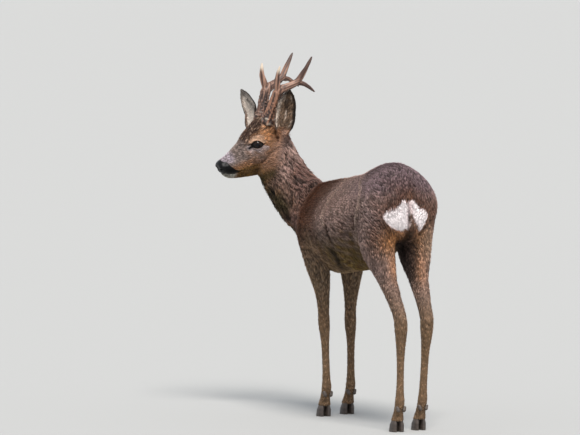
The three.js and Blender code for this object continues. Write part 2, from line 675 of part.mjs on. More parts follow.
const skullAndNeck = inBody(headBody(GAP)).add(neckBody(GAP));
for (const [side, sign] of SIDES) {
  put("eye_" + side, inBody(eyeball(sign)), eyeGlass);
  put("ear_" + side, biggest(inBody(ear(EARS[side])).subtract(skullAndNeck)), earCoat);
  const antler = antlerParts(sign, ANTLERS[side]);
  for (const [name, solid] of Object.entries(antler)) {
    put("antler_" + side + "_" + name, biggest(inBody(solid).subtract(skullAndNeck)), antlerBone);
  }
}

for (const leg of LEGS) {
  for (const out of [1, -1]) {
    const place = out === leg.side ? "outer" : "inner";
    put("hoof_" + leg.name + "_" + place, claw(footOf(leg), out), horn);
    put("dewclaw_" + leg.name + "_" + place, dewclaw(leg, out), horn);
  }
}

// The part's origin is on the ground under the middle of its bounding box.
const bounds = new THREE.Box3().setFromObject(deer);
const middle = bounds.getCenter(v3(0, 0, 0));
for (const piece of deer.children) piece.position.set(-middle.x, -middle.y, -bounds.min.z);

export default deer;
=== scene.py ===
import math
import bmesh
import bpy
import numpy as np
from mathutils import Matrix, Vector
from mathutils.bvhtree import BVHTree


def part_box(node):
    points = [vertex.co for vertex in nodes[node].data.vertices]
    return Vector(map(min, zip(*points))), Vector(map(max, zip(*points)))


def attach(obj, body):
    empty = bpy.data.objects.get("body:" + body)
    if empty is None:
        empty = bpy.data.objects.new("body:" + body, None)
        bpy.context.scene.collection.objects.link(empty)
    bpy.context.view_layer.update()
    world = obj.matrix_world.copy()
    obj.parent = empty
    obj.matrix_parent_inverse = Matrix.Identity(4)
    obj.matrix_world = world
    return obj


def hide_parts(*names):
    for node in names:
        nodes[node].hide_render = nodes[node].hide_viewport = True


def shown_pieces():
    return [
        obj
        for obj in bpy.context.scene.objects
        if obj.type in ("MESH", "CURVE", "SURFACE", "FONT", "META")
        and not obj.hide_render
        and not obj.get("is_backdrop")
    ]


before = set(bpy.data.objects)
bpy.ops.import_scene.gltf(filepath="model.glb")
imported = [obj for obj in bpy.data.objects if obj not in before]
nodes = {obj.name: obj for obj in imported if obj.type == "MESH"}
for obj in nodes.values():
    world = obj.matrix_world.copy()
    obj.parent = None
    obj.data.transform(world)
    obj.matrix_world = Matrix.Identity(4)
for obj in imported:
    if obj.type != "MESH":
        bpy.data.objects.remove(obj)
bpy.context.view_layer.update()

# %% [markdown]
# # A roebuck, looking back over its shoulder
# This lesson dresses a life-size solid model of a roe deer. The solids are already in place: trunk,
# neck, head, legs, ears, eyes, antlers and hooves, each a plain faceted body. They say how big the
# animal is and where everything lies. Blender adds what makes it a deer: one unbroken skin with
# eyelids, nostrils and folds, a coat of many thousand small tufts, grooved antlers and wet eyes.
# Everything is in metres, +Z is up, and the deer faces -Y with its left side towards +X.

MM = 0.001
LEFT, RIGHT = 1, -1
SIDES = {"left": LEFT, "right": RIGHT}

# %% [markdown]
# ## Small helpers for numbers
# Every feature fades in and out softly, so three little functions do most of the work: a smooth step
# from 0 to 1, a soft bump round a point, and a cheap wavy noise made of crossed sine waves.
# The noise is seeded, so that the deer looks the same each time the lesson is run.


# %% Smooth steps, bumps and waves
def step(low, high, value):
    t = np.clip((value - low) / (high - low), 0, 1)
    return t * t * (3 - 2 * t)


def bump(points, at, size):
    return np.exp(-(((points - np.array(at)) / np.array(size)) ** 2).sum(1))


def waves(points, size, seed=0, count=5):
    """Soft noise from -1 to 1 over points, with features about `size` across."""
    chance = np.random.RandomState(seed)
    total = np.zeros(len(points))
    for _ in range(count):
        way = chance.normal(size=3)
        way *= 2.2 / size / np.linalg.norm(way)
        total += np.sin(points @ way + chance.uniform(0, 6.3))
    return total / math.sqrt(count) / 1.5


def unit(vectors):
    return vectors / np.maximum(np.linalg.norm(vectors, axis=1, keepdims=True), 1e-9)


def mixed(first, second, share):
    return first + (second - first) * np.asarray(share)[:, None]


print("a quarter of the way up a smooth step:", step(0, 1, 0.25))

# %% [markdown]
# ## Finding our way over the animal
# Hair, colour and folds are all placed by anatomy: "behind the shoulder", "above the eye". Two rulers
# make that easy. One measures over the body from a point on the ground, and one over the head from
# the nose, along the skull however the head is turned. Both are in millimetres and both are read
# off the solids: the tail marks the middle of the hindquarters, and the line through the two
# eyeballs is the head's own left-to-right.


# %% Rulers for the body and the head
def middle_of(name):
    low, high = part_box(name)
    return (low + high) / 2


HIND_X = -6  # the hindquarters stand this far to the right of the shoulders
RUMP_END = 308  # rearmost point of the trunk
BODY_AT = np.array([middle_of("tail").x - HIND_X * MM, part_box("trunk")[1].y - RUMP_END * MM, 0])

EYE_RADIUS = 15.2
EYE_PLACE = np.array([32, 117, 20])  # of the left eyeball: out, back from the nose, up
HEAD_TURN, HEAD_DIP, HEAD_TILT = math.radians(92), math.radians(20), math.radians(7)
turning = Matrix.Rotation(HEAD_TURN, 3, "Z") @ Matrix.Rotation(HEAD_DIP, 3, "X")
HEAD_AXES = np.array(turning @ Matrix.Rotation(HEAD_TILT, 3, "Y"))
between_eyes = np.array((middle_of("eye_left") + middle_of("eye_right")) / 2)
HEAD_AT = between_eyes - HEAD_AXES @ (EYE_PLACE * [0, 1, 1]) * MM


def body_mm(points):
    return (points - BODY_AT) / MM


def head_mm(points):
    return (points - HEAD_AT) @ HEAD_AXES / MM


def from_head(local):
    return HEAD_AT + local @ HEAD_AXES.T * MM


def folded(places):
    """The same places with the right half laid over the left, for whatever is made twice."""
    return np.column_stack([abs(places[:, 0]), places[:, 1:]])


def straight(b):
    """Body places measured from the spine, which swings a little to the right at the hips."""
    return b - np.column_stack([HIND_X * step(-250, 60, b[:, 1]), 0 * b[:, 1:]])


print("nose tip at", from_head(np.array([0, 4, -7])).round(3))

# %% [markdown]
# A mesh is a long list of points. Read into one array, they can all be moved in a single sum, which
# is far quicker than one by one. So these helpers read and write whole meshes at once.


# %% Read and write meshes as arrays
def read(items, field, width, kind=np.float32):
    found = np.empty(len(items) * width, kind)
    items.foreach_get(field, found)
    return found.reshape(-1, width)


def points_of(mesh):
    return read(mesh.vertices, "co", 3).astype(float)


def normals_of(mesh):
    return read(mesh.vertex_normals, "vector", 3).astype(float)


def edges_of(mesh):
    return read(mesh.edges, "vertices", 2, np.int32)


def corners_of(mesh):
    return read(mesh.loops, "vertex_index", 1, np.int32).reshape(-1, 3)


def set_points(mesh, points):
    mesh.vertices.foreach_set("co", points.astype(np.float32).ravel())
    mesh.update()


def relaxed(points, edges, share, steps=1):
    """Moves each point towards the middle of its neighbours, by its share, a number of times."""
    many = len(points)
    count = np.maximum(np.bincount(edges.ravel(), minlength=many), 1)[:, None]
    first, second = edges.T
    for _ in range(steps):
        total = [
            np.bincount(first, points[second, k], many) + np.bincount(second, points[first, k], many)
            for k in range(3)
        ]
        points = points + np.reshape(share, (-1, 1)) * (np.stack(total, axis=1) / count - points)
    return points


def smoothed(points, edges, rounds, inwards, outwards):
    """Relaxes inwards and then outwards again, in turns, so that bumps go and the volume stays."""
    for _ in range(rounds):
        points = relaxed(relaxed(points, edges, inwards), edges, outwards)
    return points


def add_object(name, data):
    made = bpy.data.objects.new(name, data)
    bpy.context.scene.collection.objects.link(made)
    return made


def with_modifier(thing, kind, **settings):
    """Adds one modifier, applies it and leaves the object with the finished mesh."""
    modifier = thing.modifiers.new(kind.title(), kind)
    for key, value in settings.items():
        setattr(modifier, key, value)
    shaped = thing.evaluated_get(bpy.context.evaluated_depsgraph_get())
    mesh = bpy.data.meshes.new_from_object(shaped)
    thing.modifiers.clear()
    thing.data = mesh
    return thing


def welded(names, grow=0.25):
    """One mesh of several solids, each a little swollen, so that the thin cuts between them close."""
    tank = bmesh.new()
    for name in names:
        tank.from_mesh(nodes[name].data)
    bmesh.ops.remove_doubles(tank, verts=tank.verts, dist=1e-5)
    bmesh.ops.recalc_face_normals(tank, faces=tank.faces)
    tank.normal_update()
    for vertex in tank.verts:
        vertex.co += vertex.normal * grow * MM
    mesh = bpy.data.meshes.new("welded")
    tank.to_mesh(mesh)
    tank.free()
    return mesh


print("the trunk has", len(points_of(nodes["trunk"].data)), "points,", len(nodes), "solids in all")

# %% [markdown]
# ## One skin
# On the animal a single skin runs from nose to hooves. The solids are joined and remeshed with
# voxels, which melts them into one closed surface. The solids of the eyeballs go in too, so that
# there is skin to make lids of.

# %% Melt the solids into one surface
FLESH = ["trunk", "neck", "head", "tail"] + [
    f"leg_{end}_{side}" for end in ("front", "hind") for side in SIDES
]
VOXEL = 2.0 * MM

skin = add_object("skin", welded(FLESH + ["eye_left", "eye_right"]))
with_modifier(skin, "REMESH", mode="VOXEL", voxel_size=VOXEL)
print("remeshed:", len(skin.data.vertices), "points")

# %% [markdown]
# Most of the later steps treat the head, the neck and the legs each in their own way. Three
# functions say how much a place belongs to each, from 0 to 1, so that no step ends on a hard line.


# %% Tell where the head, the neck and the legs begin
def head_share(points):
    """1 on the head, 0 on the neck and the body, with a soft edge behind the jaw."""
    local = head_mm(points)
    behind = ((local[:, 1] - 158) * 105 - (local[:, 2] + 20) * 112) / 153.5
    near = np.linalg.norm(local - [0, 120, 10], axis=1)
    return (1 - step(-10, 12, behind)) * (1 - step(150, 175, near))


def neck_share(points):
    """1 forward of the shoulders, 0 behind them."""
    ahead = (body_mm(points) - [16, -266, 526]) @ [0.19, -0.9, 0.39]
    return step(-26, 22, ahead) * (1 - head_share(points))


def leg_share(points):
    """1 on the free part of the legs, 0 on the trunk."""
    b = body_mm(points)
    hind = step(20, 90, b[:, 1])
    return 1 - step(360 + 60 * hind, 430 + 60 * hind, b[:, 2])


points = points_of(skin.data)
for share_of in (head_share, neck_share, leg_share):
    print(share_of.__name__, "is", round(float(share_of(points).mean()), 2), "on average")

# %% [markdown]
# A remesh keeps the flat facets of the solids, so the surface is relaxed: each point moves towards
# the middle of its neighbours. The barrel of the body can take a lot of it, but thin legs and the
# head would lose their shape. There the points move inwards and then nearly as far outwards again,
# which keeps the volume.

# %% Relax the facets away
THICK_ROUNDS, FINE_ROUNDS = 90, 14

edges = edges_of(skin.data)
head, legs = head_share(points), leg_share(points)
fine = np.maximum(head, legs) * (1 - 0.35 * head)
points = relaxed(points, edges, 0.9 * (1 - head) * (1 - legs), THICK_ROUNDS)
set_points(skin.data, smoothed(points, edges, FINE_ROUNDS, 0.62 * fine + 0.05, -0.58 * fine))
print("relaxed skin box:", [round(float(s), 3) for s in np.ptp(points_of(skin.data), axis=0)])

# %% [markdown]
# ## A finer face
# The face carries the smallest shapes of the whole animal: lids, nostrils and the line of the mouth.
# Instead of making the whole skin finer, only its quads on the head are split in four. Splitting an
# edge also turns the quads next to it into small triangles, so no crack opens at the border.


# %% Split the quads of the head, and again round the eyes
def refine(share_of):
    work = bmesh.new()
    work.from_mesh(skin.data)
    chosen = share_of(points_of(skin.data)) > 0.5
    work.verts.ensure_lookup_table()
    edges = [e for e in work.edges if chosen[e.verts[0].index] and chosen[e.verts[1].index]]
    bmesh.ops.subdivide_edges(work, edges=edges, cuts=1, use_grid_fill=True)
    work.to_mesh(skin.data)
    work.free()


def near_eyes(points):
    return (np.linalg.norm(folded(head_mm(points)) - [44, 108, 20], axis=1) < 27).astype(float)


refine(head_share)
points = points_of(skin.data)
share = head_share(points)
set_points(skin.data, smoothed(points, edges_of(skin.data), 22, 0.62 * share, -0.6 * share))
refine(near_eyes)
print("skin with a finer face:", len(skin.data.vertices), "points")

# %% [markdown]
# ## Under the coat
# The solids reach to the tips of the hair, so the skin has to lie inside them by the depth of the
# coat: most on the neck, a few millimetres on the body, and next to nothing on the face and legs.


# %% Sink the skin by the depth of the coat
def coat_depth(points):
    head, neck, legs = head_share(points), neck_share(points), leg_share(points)
    depth = 4.2 + 2.3 * neck
    depth = depth + (1.1 - depth) * legs
    face = 0.5 + 1.6 * step(60, 150, head_mm(points)[:, 1])
    return depth + (face - depth) * head


def push_out(thing, distance):
    """Moves each point along its own normal, by so many mm."""
    points = points_of(thing.data)
    set_points(thing.data, points + normals_of(thing.data) * (distance(points) * MM)[:, None])


push_out(skin, lambda points: -coat_depth(points))
print("deepest coat:", round(float(coat_depth(points_of(skin.data)).max()), 1), "mm")

# %% [markdown]
# ## The set of the eyes
# A deer's eyes sit on the sides of the skull, each a ball behind an almond of lids. The ball's own
# middle is the best place to measure from: a point of skin is given a direction and a distance from
# it. Outside the almond its distance becomes the ball's radius plus the thickness of a lid, and
# inside the almond it drops below the ball's surface, so that the ball shows.

# %% Shape the lids round both eyeballs
GAZE = np.array([0.9, -0.4, 0.15])
EYE_LINE = np.array([7.0, 27.0, -7.0])  # from the front corner of the eye to its back corner
ALMOND = 0.93  # half its length, as a share of the ball's radius
LID_OUT, SKIN_IN = 1.5, 2.6  # how far off the ball the lids lie, and how far within it the rest, mm


def eye_axes(side):
    gaze = GAZE / np.linalg.norm(GAZE)
    along = EYE_LINE - gaze * (EYE_LINE @ gaze)
    along /= np.linalg.norm(along)
    up = np.cross(along, gaze)
    up *= np.sign(up[2])
    mirror = np.array([side, 1, 1])
    return EYE_PLACE * mirror, gaze * mirror, along * mirror, up * mirror


def lid_height(u, upper):
    """How far the lid's edge lies above or below the eye line, u along it, as shares of the radius."""
    arch = np.clip(1 - (abs(u) / ALMOND) ** 2.1, 0, 1) ** 0.85
    return arch * (0.59 - 0.08 * u) if upper else -arch * (0.46 - 0.06 * u)


def eye_place(local, side):
    """Direction and distance from one eyeball, and how far outside the almond a point is, in mm."""
    centre, gaze, along, up = eye_axes(side)
    away = local - centre
    far = np.linalg.norm(away, axis=1)
    way = away / np.maximum(far, 1e-6)[:, None]
    u, v, front = way @ along, way @ up, way @ gaze
    margin = np.maximum(v - lid_height(u, True), lid_height(u, False) - v)
    margin = np.maximum(margin, (abs(u) - ALMOND) * 1.1) * EYE_RADIUS
    margin = np.where(front > 0.05, margin, 30)
    return way, far, u, v, margin


def shape_eyes(local):
    for side in (LEFT, RIGHT):
        way, far, _, v, margin = eye_place(local, side)
        lid = EYE_RADIUS + LID_OUT + 0.22 * np.clip(margin, 0, 6)
        lid = lid - 0.9 * np.exp(-(((margin - 4.6) / 1.1) ** 2)) * step(-0.1, 0.5, v)
        lid = lid - 0.6 * np.exp(-(((margin - 3.6) / 1.0) ** 2)) * step(0.1, -0.5, v)
        sunk = EYE_RADIUS - SKIN_IN
        target = sunk + (lid - sunk) * step(-0.9, 0.35, margin)
        share = (1 - step(3.2, 10, margin)) * (far < EYE_RADIUS + 22)
        local = local + way * ((target - far) * share)[:, None]
    return local


print("opening of the eye:", round(2 * ALMOND * EYE_RADIUS), "mm long")

# %% [markdown]
# ## Nose, mouth and cheeks
# The rest of the face is carved by pushing the surface in or out along its own normal: a groove for
# the mouth, pits for the nostrils, the slit of the scent gland in front of the eye, and the bones
# that show under thin skin. Each push is a soft bump at a named place, mirrored by using the
# distance from the middle instead of left and right.

# %% Carve the muzzle and the bones of the face
MOUTH_Y = [4, 12, 21, 37, 50, 60]
MOUTH_Z = [-23, -26.5, -28, -33, -33, -31]
FACE_BUMPS = [  # how far out, at which place, and how wide each way
    (2.6, (14, 13, -12), (7.5, 9, 7)),  # wings of the nose
    (-9.0, (13.5, 9.5, -12.5), (4.0, 5.0, 2.9)),  # nostrils
    (-6.0, (18, 16, -10.5), (3.0, 6.0, 1.9)),  # their slits
    (-1.0, (22, 24, 0), (5, 6, 4)),
    (-2.4, (28, 93, 17), (7, 7, 2.6)),  # scent gland
    (1.2, (27, 90, 22), (7, 8, 3.4)),  # its upper rim
    (1.8, (46, 140, -1), (12, 22, 6)),  # cheekbone
    (-1.4, (40, 112, -22), (14, 16, 12)),  # hollow of the cheek
    (1.5, (32, 130, -56), (12, 22, 12)),  # corner of the jaw
    (-1.6, (26, 60, -6), (10, 22, 10)),
    (1.4, (10, 60, 22), (7, 34, 8)),  # bridge of the nose
    (-1.2, (0, 118, 62), (9, 22, 14)),  # furrow of the brow
]


def bumps(places, rows):
    return sum(height * bump(places, at, size) for height, at, size in rows)


def groove(distance, width):
    return np.exp(-((distance / width) ** 2))


def face_push(local):
    mirrored = folded(local)
    s, y, z = mirrored.T
    above_mouth = z - np.interp(y, MOUTH_Y, MOUTH_Z)
    lips = 0.9 * groove(above_mouth - 4, 2.6) + 0.7 * groove(above_mouth + 5, 2.6)
    push = (lips - 2.6 * groove(above_mouth, 1.3)) * (1 - step(50, 58, y)) * step(2, 6, s + y * 0.3)
    push += -2.2 * step(-29, -34, z) * (1 - step(8, 20, y))
    push += -1.1 * groove(s, 1.5) * step(14, 8, y) * step(-3, -9, z) * step(-27, -22, z)
    return push + bumps(mirrored, FACE_BUMPS)


points = points_of(skin.data)
local = head_mm(points)
local = local + (normals_of(skin.data) @ HEAD_AXES) * face_push(local)[:, None]
set_points(skin.data, mixed(points, from_head(shape_eyes(local)), head_share(points)))
print("face carved over", int((head_share(points) > 0).sum()), "points")

# %% [markdown]
# ## The ears
# An ear is a leaf of gristle, rolled to a tube at its foot and opening to a pointed blade. It is
# lofted: rings of points climb the ear, each a thin curved slab, and quads join them. Ribs of
# gristle run up the inside. Like the head, each ear has its own ruler, however it is turned.

# %% Loft an ear
EAR_LENGTH = 124
EAR_HALF = 27.0  # half the width round the widest part
EAR_WIDTHS = [0.42, 0.66, 0.88, 1, 1.02, 0.96, 0.82, 0.55, 0.09]  # from foot to tip, as shares of it
EARS = {
    "left": {"foot": (41, 183, 24), "lean": 18.6, "tilt": -20.5, "turn": 70},
    "right": {"foot": (-39, 164, 23), "lean": -37.5, "tilt": -1, "turn": 18},
}
EAR_SIZE = {"left": np.array([1, 1, 1]), "right": np.array([1.04, 1, 1.05])}
EAR_ROWS, EAR_ACROSS = 72, 44
WALL_AT_FOOT, WALL_AT_TIP, WALL_AT_EDGE = 5.0, 2.0, 1.0  # how thick the leaf is, mm


def ear_axes(side):
    e = EARS[side]
    lean = Matrix.Rotation(math.radians(e["lean"]), 3, "Y")
    tilt = Matrix.Rotation(math.radians(e["tilt"]), 3, "X")
    return np.array(lean @ tilt @ Matrix.Rotation(math.radians(e["turn"]), 3, "Z"))


def ear_mm(points, side):
    """Places over one ear: across, out of its back, and from its foot to its tip."""
    return (head_mm(points) - EARS[side]["foot"]) @ ear_axes(side) / EAR_SIZE[side]


def ear_roll(t):
    """How far the leaf is rolled up at a height, its radius there, and where its middle lies."""
    half = EAR_HALF * np.interp(t, np.linspace(0, 1, len(EAR_WIDTHS)), EAR_WIDTHS)
    curl = 2.5 - 1.65 * np.clip(t * 1.9, 0, 1)
    radius = half / np.sin(np.minimum(curl, math.pi / 2))
    return curl, radius, 10 * t * t - radius * 0.6


def ear_rings():
    rings = []
    for t in np.arange(EAR_ROWS) / (EAR_ROWS - 1):
        curl, radius, middle = ear_roll(t)
        share = np.linspace(-1, 1, EAR_ACROSS)
        angle = curl * share
        outer = np.column_stack([np.sin(angle), np.cos(angle)]) * (radius - 0.4)
        rib = 0.5 * np.cos(share * 17) * (1 - share**2) * min(1, 6 * t) * (1 - t)
        wall = WALL_AT_FOOT + (WALL_AT_TIP - WALL_AT_FOOT) * t
        wall = np.maximum(WALL_AT_EDGE, wall * (1 - share**2) + rib)
        inner = np.column_stack([np.sin(angle * 0.97), np.cos(angle * 0.97)]) * (radius - wall)[:, None]
        loop = np.vstack([outer, inner[::-1]]) + [0, middle]
        rings.append(np.column_stack([loop, np.full(len(loop), EAR_LENGTH * t - 1)]))
    return np.array(rings)


def ear_object(side):
    rings = ear_rings()
    around = rings.shape[1]
    local = np.array(EARS[side]["foot"]) + (rings.reshape(-1, 3) * EAR_SIZE[side]) @ ear_axes(side).T
    faces = []
    for r in range(EAR_ROWS - 1):
        for k in range(around):
            a, b = r * around + k, r * around + (k + 1) % around
            faces.append((a, b, b + around, a + around))
    for base in (0, (EAR_ROWS - 1) * around):  # close both ends
        for k in range(around // 2 - 1):
            a, b = base + k, base + k + 1
            c, d = base + around - 2 - k, base + around - 1 - k
            faces.append((a, d, c, b) if base == 0 else (a, b, c, d))
    mesh = bpy.data.meshes.new("ear")
    mesh.from_pydata(from_head(local).tolist(), [], faces)
    table = bmesh.new()
    table.from_mesh(mesh)
    bmesh.ops.recalc_face_normals(table, faces=table.faces)
    table.to_mesh(mesh)
    table.free()
    return add_object("ear", mesh)


print("rings of an ear:", ear_rings().shape[:2], "points")

# %% [markdown]
# Each ear is united with the skin, so that this stays one closed surface, and then taken away. The
# union leaves a sharp seam round the foot of the ear, which is relaxed.


# %% Unite the ears with the skin
def ear_share(points):
    """1 on the free blade of either ear."""
    share = np.zeros(len(points))
    for side in SIDES:
        x, y, z = ear_mm(points, side).T
        blade = step(12, 24, z) * (abs(x) < 40) * (abs(y) < 40)
        share = np.maximum(share, blade * (z < EAR_LENGTH + 3))
    return share


def near_ear_feet(points):
    near = np.zeros(len(points))
    for side in SIDES:
        x, y, z = ear_mm(points, side).T
        near = np.maximum(near, groove(z - 8, 12) * (np.hypot(x, y) < 34))
    return near


for side in SIDES:
    leaf = ear_object(side)
    with_modifier(skin, "BOOLEAN", operation="UNION", solver="MANIFOLD", object=leaf)
    bpy.data.objects.remove(leaf)
with_modifier(skin, "TRIANGULATE")
points = points_of(skin.data)
set_points(skin.data, relaxed(points, edges_of(skin.data), 0.5 * near_ear_feet(points), steps=8))
print("skin with ears:", len(skin.data.vertices), "points")

# %% [markdown]
# ## Folds and muscles
# Under the coat of the body, skin slides over muscle. Where the neck turns, a deep fold opens in
# front of the shoulder. A soft ridge runs down behind the shoulder blade and another in front of
# the thigh, each with a shadow line beside it. Each is a bent line through a few places.

# %% Fold the skin of the body
NECK_FOLD = [
    (24, -252, 588), (42, -244, 572), (60, -236, 552), (74, -228, 526), (80, -238, 496), (72, -262, 474),
]
NECK_ROLL = [
    (20, -268, 590), (38, -264, 576), (54, -258, 556), (66, -252, 532), (73, -260, 504), (66, -282, 480),
]
BLADE_LINE = [(104, 13, 514), (105, 15, 496), (101, 17, 484), (96, 20, 473), (89, 18, 458)]
BLADE_RIDGE = [
    (27, -19, 615), (55, 2, 599), (74, 3, 579), (87, -5, 561), (99, -8, 541), (99, -8, 520), (102, 2, 504),
]
HIP_RIDGE = [
    (57, 148, 626), (80, 196, 602), (89, 205, 572), (90, 197, 558), (88, 182, 536), (78, 158, 506),
    (66, 136, 474),
]
HIP_SHADOW = [(84, 160, 536), (83, 156, 528), (80, 153, 512), (75, 145, 496)]
CHEST_LINE = [(89, -175, 494), (85, -201, 474), (80, -214, 452)]
BODY_BUMPS = [
    (-3.5, (84, 182, 527), (9, 6, 6)),  # dimple at the stifle fold
    (3.0, (58, -170, 560), (30, 20, 50)),  # shoulder blade
    (2.4, (78, -110, 500), (30, 34, 40)),  # muscle of the upper arm
    (-2.5, (80, -140, 470), (30, 12, 30)),
    (3.4, (66, 240, 560), (30, 34, 60)),  # round of the rump
    (-2.2, (76, 262, 470), (26, 10, 46)),
    (3.0, (30, 296, 540), (18, 20, 26)),  # seat bone
    (-3.0, (43, 318, 352), (30, 5, 34)),  # in front of the heel tendon
]
LEG_GROOVES = [(-150, 165), (326, 165)]  # between cannon bone and tendon: how far back and how high
FLAT = [0.3, 1, 1]


def along_line(points, line, width):
    """1 on a bent line through a few named places, fading out over its width."""
    line = np.array(line, float)
    nearest = np.full(len(points), 1e9)
    for a, c in zip(line[:-1], line[1:]):
        span = c - a
        t = np.clip((points - a) @ span / (span @ span), 0, 1)
        nearest = np.minimum(nearest, np.linalg.norm(points - a - t[:, None] * span, axis=1))
    return groove(nearest, width)


def along_fold(places, line, width):
    """Like along_line, but forgiving about how far out to the side the skin lies."""
    return along_line(places * FLAT, np.array(line) * FLAT, width)


def body_push(b):
    away = straight(b)
    mirrored = folded(away)
    y, z = b[:, 1], b[:, 2]
    near = 0.55 + 0.45 * (away[:, 0] > 0)
    near_neck = near * step(478, 535, z)
    push = bumps(mirrored, BODY_BUMPS)
    for height, line, width, share in (
        (-10.0, NECK_FOLD, 7, near_neck),
        (5.0, NECK_ROLL, 9, near_neck),
        (-3.0, BLADE_LINE, 7, near**2),
        (2.2, BLADE_RIDGE, 8, near**2),
        (-2.6, HIP_SHADOW, 7, near**2),
        (2.8, HIP_RIDGE, 8, near**2),
    ):
        push += height * share * along_fold(mirrored, line, width)
    ribs = np.sin((y + 0.4 * z) / 5.2)
    push += 0.45 * ribs * step(-30, 20, y) * step(120, 70, y) * step(400, 440, z)
    cleft = groove(mirrored[:, 0], 7) * step(262, 296, y) * step(470, 520, z) * step(588, 566, z)
    push += -5.0 * cleft
    for back, height in LEG_GROOVES:
        push += -1.6 * groove(y - back, 3.2) * np.exp(-(((z - height) / 60) ** 4))
    return push * (1 + 0.15 * waves(b, 40, 51))


HEM = 6  # the skin of the feet grows this far down over the rim of the hooves
points = points_of(skin.data)
hem = step(50, 34, points[:, 2] / MM)
push = body_push(body_mm(points)) * (1 - head_share(points)) + 0.9 * hem
points = points + normals_of(skin.data) * (push * MM)[:, None]
set_points(skin.data, points - np.outer(HEM * MM * hem, [0, 0, 1]))
print("folds laid on", len(points), "points")

# %% [markdown]
# ## Fewer triangles, and a map
# The skin now has far more triangles than it needs. Decimating merges them where the surface is
# plain, and a vertex group tells it to spare the face. Then the skin is unwrapped: cut into patches
# and laid flat, so that each place on it has its own spot on a map. The coat will use the same map.

# %% Decimate and unwrap the skin
SKIN_TRIANGLES = 186000
MUZZLE_SPARED = 0.45  # the surroundings of the eyes are spared wholly, the muzzle by this much


def decimate_skin():
    points = points_of(skin.data)
    eyes = near_eyes(points) > 0
    muzzle = (MUZZLE_SPARED * head_share(points) > 0.4) & (head_mm(points)[:, 1] < 70) & ~eyes
    spare = skin.vertex_groups.new(name="spare")
    for chosen, level in ((muzzle, MUZZLE_SPARED), (eyes, 1.0)):
        spare.add(np.nonzero(chosen)[0].tolist(), level, "REPLACE")
    with_modifier(
        skin,
        "DECIMATE",
        ratio=SKIN_TRIANGLES / len(skin.data.polygons),
        vertex_group="spare",
        invert_vertex_group=True,
        vertex_group_factor=2.0,
        use_collapse_triangulate=True,
    )
    skin.vertex_groups.clear()


def unwrap(thing):
    thing.data.uv_layers.new(name="OFBake")
    bpy.context.view_layer.objects.active = thing
    for other in bpy.context.selected_objects:
        other.select_set(False)
    thing.select_set(True)
    bpy.ops.object.mode_set(mode="EDIT")
    bpy.ops.mesh.select_all(action="SELECT")
    bpy.ops.uv.smart_project(angle_limit=math.radians(66), island_margin=0.001)
    bpy.ops.object.mode_set(mode="OBJECT")


decimate_skin()
unwrap(skin)
print("skin:", len(skin.data.polygons), "triangles")

# %% [markdown]
# ## The colours of the coat
# Skin and coat wear the same markings, so one function answers for both: given a place, it returns
# a colour. It starts from one ground colour and lays each marking over the last, the way a painter
# glazes. Edges are broken up by a little noise, because hair never ends on a clean line.


# %% Name the colours and the way they are laid
def tint(red, green, blue):
    """A colour as the eye sees it, 0 to 255, turned into the light values that Blender mixes."""
    seen = np.array([red, green, blue]) / 255
    return np.where(seen < 0.04045, seen / 12.92, ((seen + 0.055) / 1.055) ** 2.4)


GREY_BROWN, FLANK_GREY_AND_CLEFT_SHADOW, HIP_GREY = tint(140, 117, 109), tint(110, 92, 76), tint(98, 82, 91)
BACK_ROSE, RIDGE_HIGHLIGHT = tint(156, 134, 130), tint(176, 152, 138)
SHOULDER_BROWN, UMBER, RUST = tint(80, 53, 39), tint(72, 40, 22), tint(86, 56, 43)
BELLY_OCHRE_IN_SHADE, OCHRE, ORANGE_TAN = tint(106, 85, 38), tint(158, 110, 66), tint(196, 144, 108)
NECK_BROWN, NECK_ROSE, THROAT_SHADE = tint(84, 64, 56), tint(97, 73, 67), tint(42, 38, 18)
NAPE_PINK = tint(178, 152, 142)
LEG_FAWN, LEG_DARK = tint(124, 98, 74), tint(132, 110, 87)
NEARLY_BLACK, BLACK, PATCH_WHITE = tint(26, 20, 17), tint(9, 8, 9), tint(255, 235, 235)
FACE_TAN, JAW_OCHRE, CHEEK_BROWN = tint(172, 122, 80), tint(106, 80, 26), tint(124, 90, 68)
BRIDGE_GREY, LAVENDER, LIP_WHITE = tint(114, 102, 97), tint(156, 145, 152), tint(176, 174, 164)
EYE_CREAM, EYE_LILAC, CROWN_DARK = tint(202, 168, 142), tint(168, 156, 156), tint(40, 28, 24)
EAR_BROWN, EAR_MIDDLE = tint(112, 90, 76), tint(93, 75, 60)
EAR_CREAM, EAR_STREAK = tint(206, 194, 182), tint(78, 60, 46)


class Glaze:
    """The colours of many places, with one marking after another laid over them."""

    def __init__(self, ground, many):
        self.colour = np.tile(ground, (many, 1))

    def lay(self, shade, share):
        self.colour = mixed(self.colour, shade, share)

    def spots(self, places, *rows):
        """Soft spots: of which colour, how strong, round which place, and how far each way."""
        for shade, share, at, size in rows:
            self.lay(shade, share * bump(places, at, size))


print("umber, as light:", UMBER.round(3))

# %% [markdown]
# The white patch on the rump is a leaning heart of two lobes with a cleft between them, painted grey
# as shade in the crease. The left lobe is the wider. Each lobe is held by its upper and its lower edge,
# as heights across the rump; a point's place inside or outside comes from the nearer edge.

# %% The heart on the rump
LEFT_LOBE = {
    "out": [-11, -5, 5, 14, 28, 41, 54, 61],
    "top": [544, 566, 583, 578, 562, 558, 554, 543],
    "bottom": [520, 513, 508, 506, 510, 517, 529, 541],
}
RIGHT_LOBE = {
    "out": [-57, -53, -47, -39, -31, -22, -13, -6],
    "top": [545, 552, 556, 560, 566, 577, 583, 578],
    "bottom": [542, 534, 517, 505, 515, 530, 548, 567],
}
CLEFT = [(-7, 300, 577), (-12, 300, 556), (-14, 300, 536), (-20, 300, 516)]


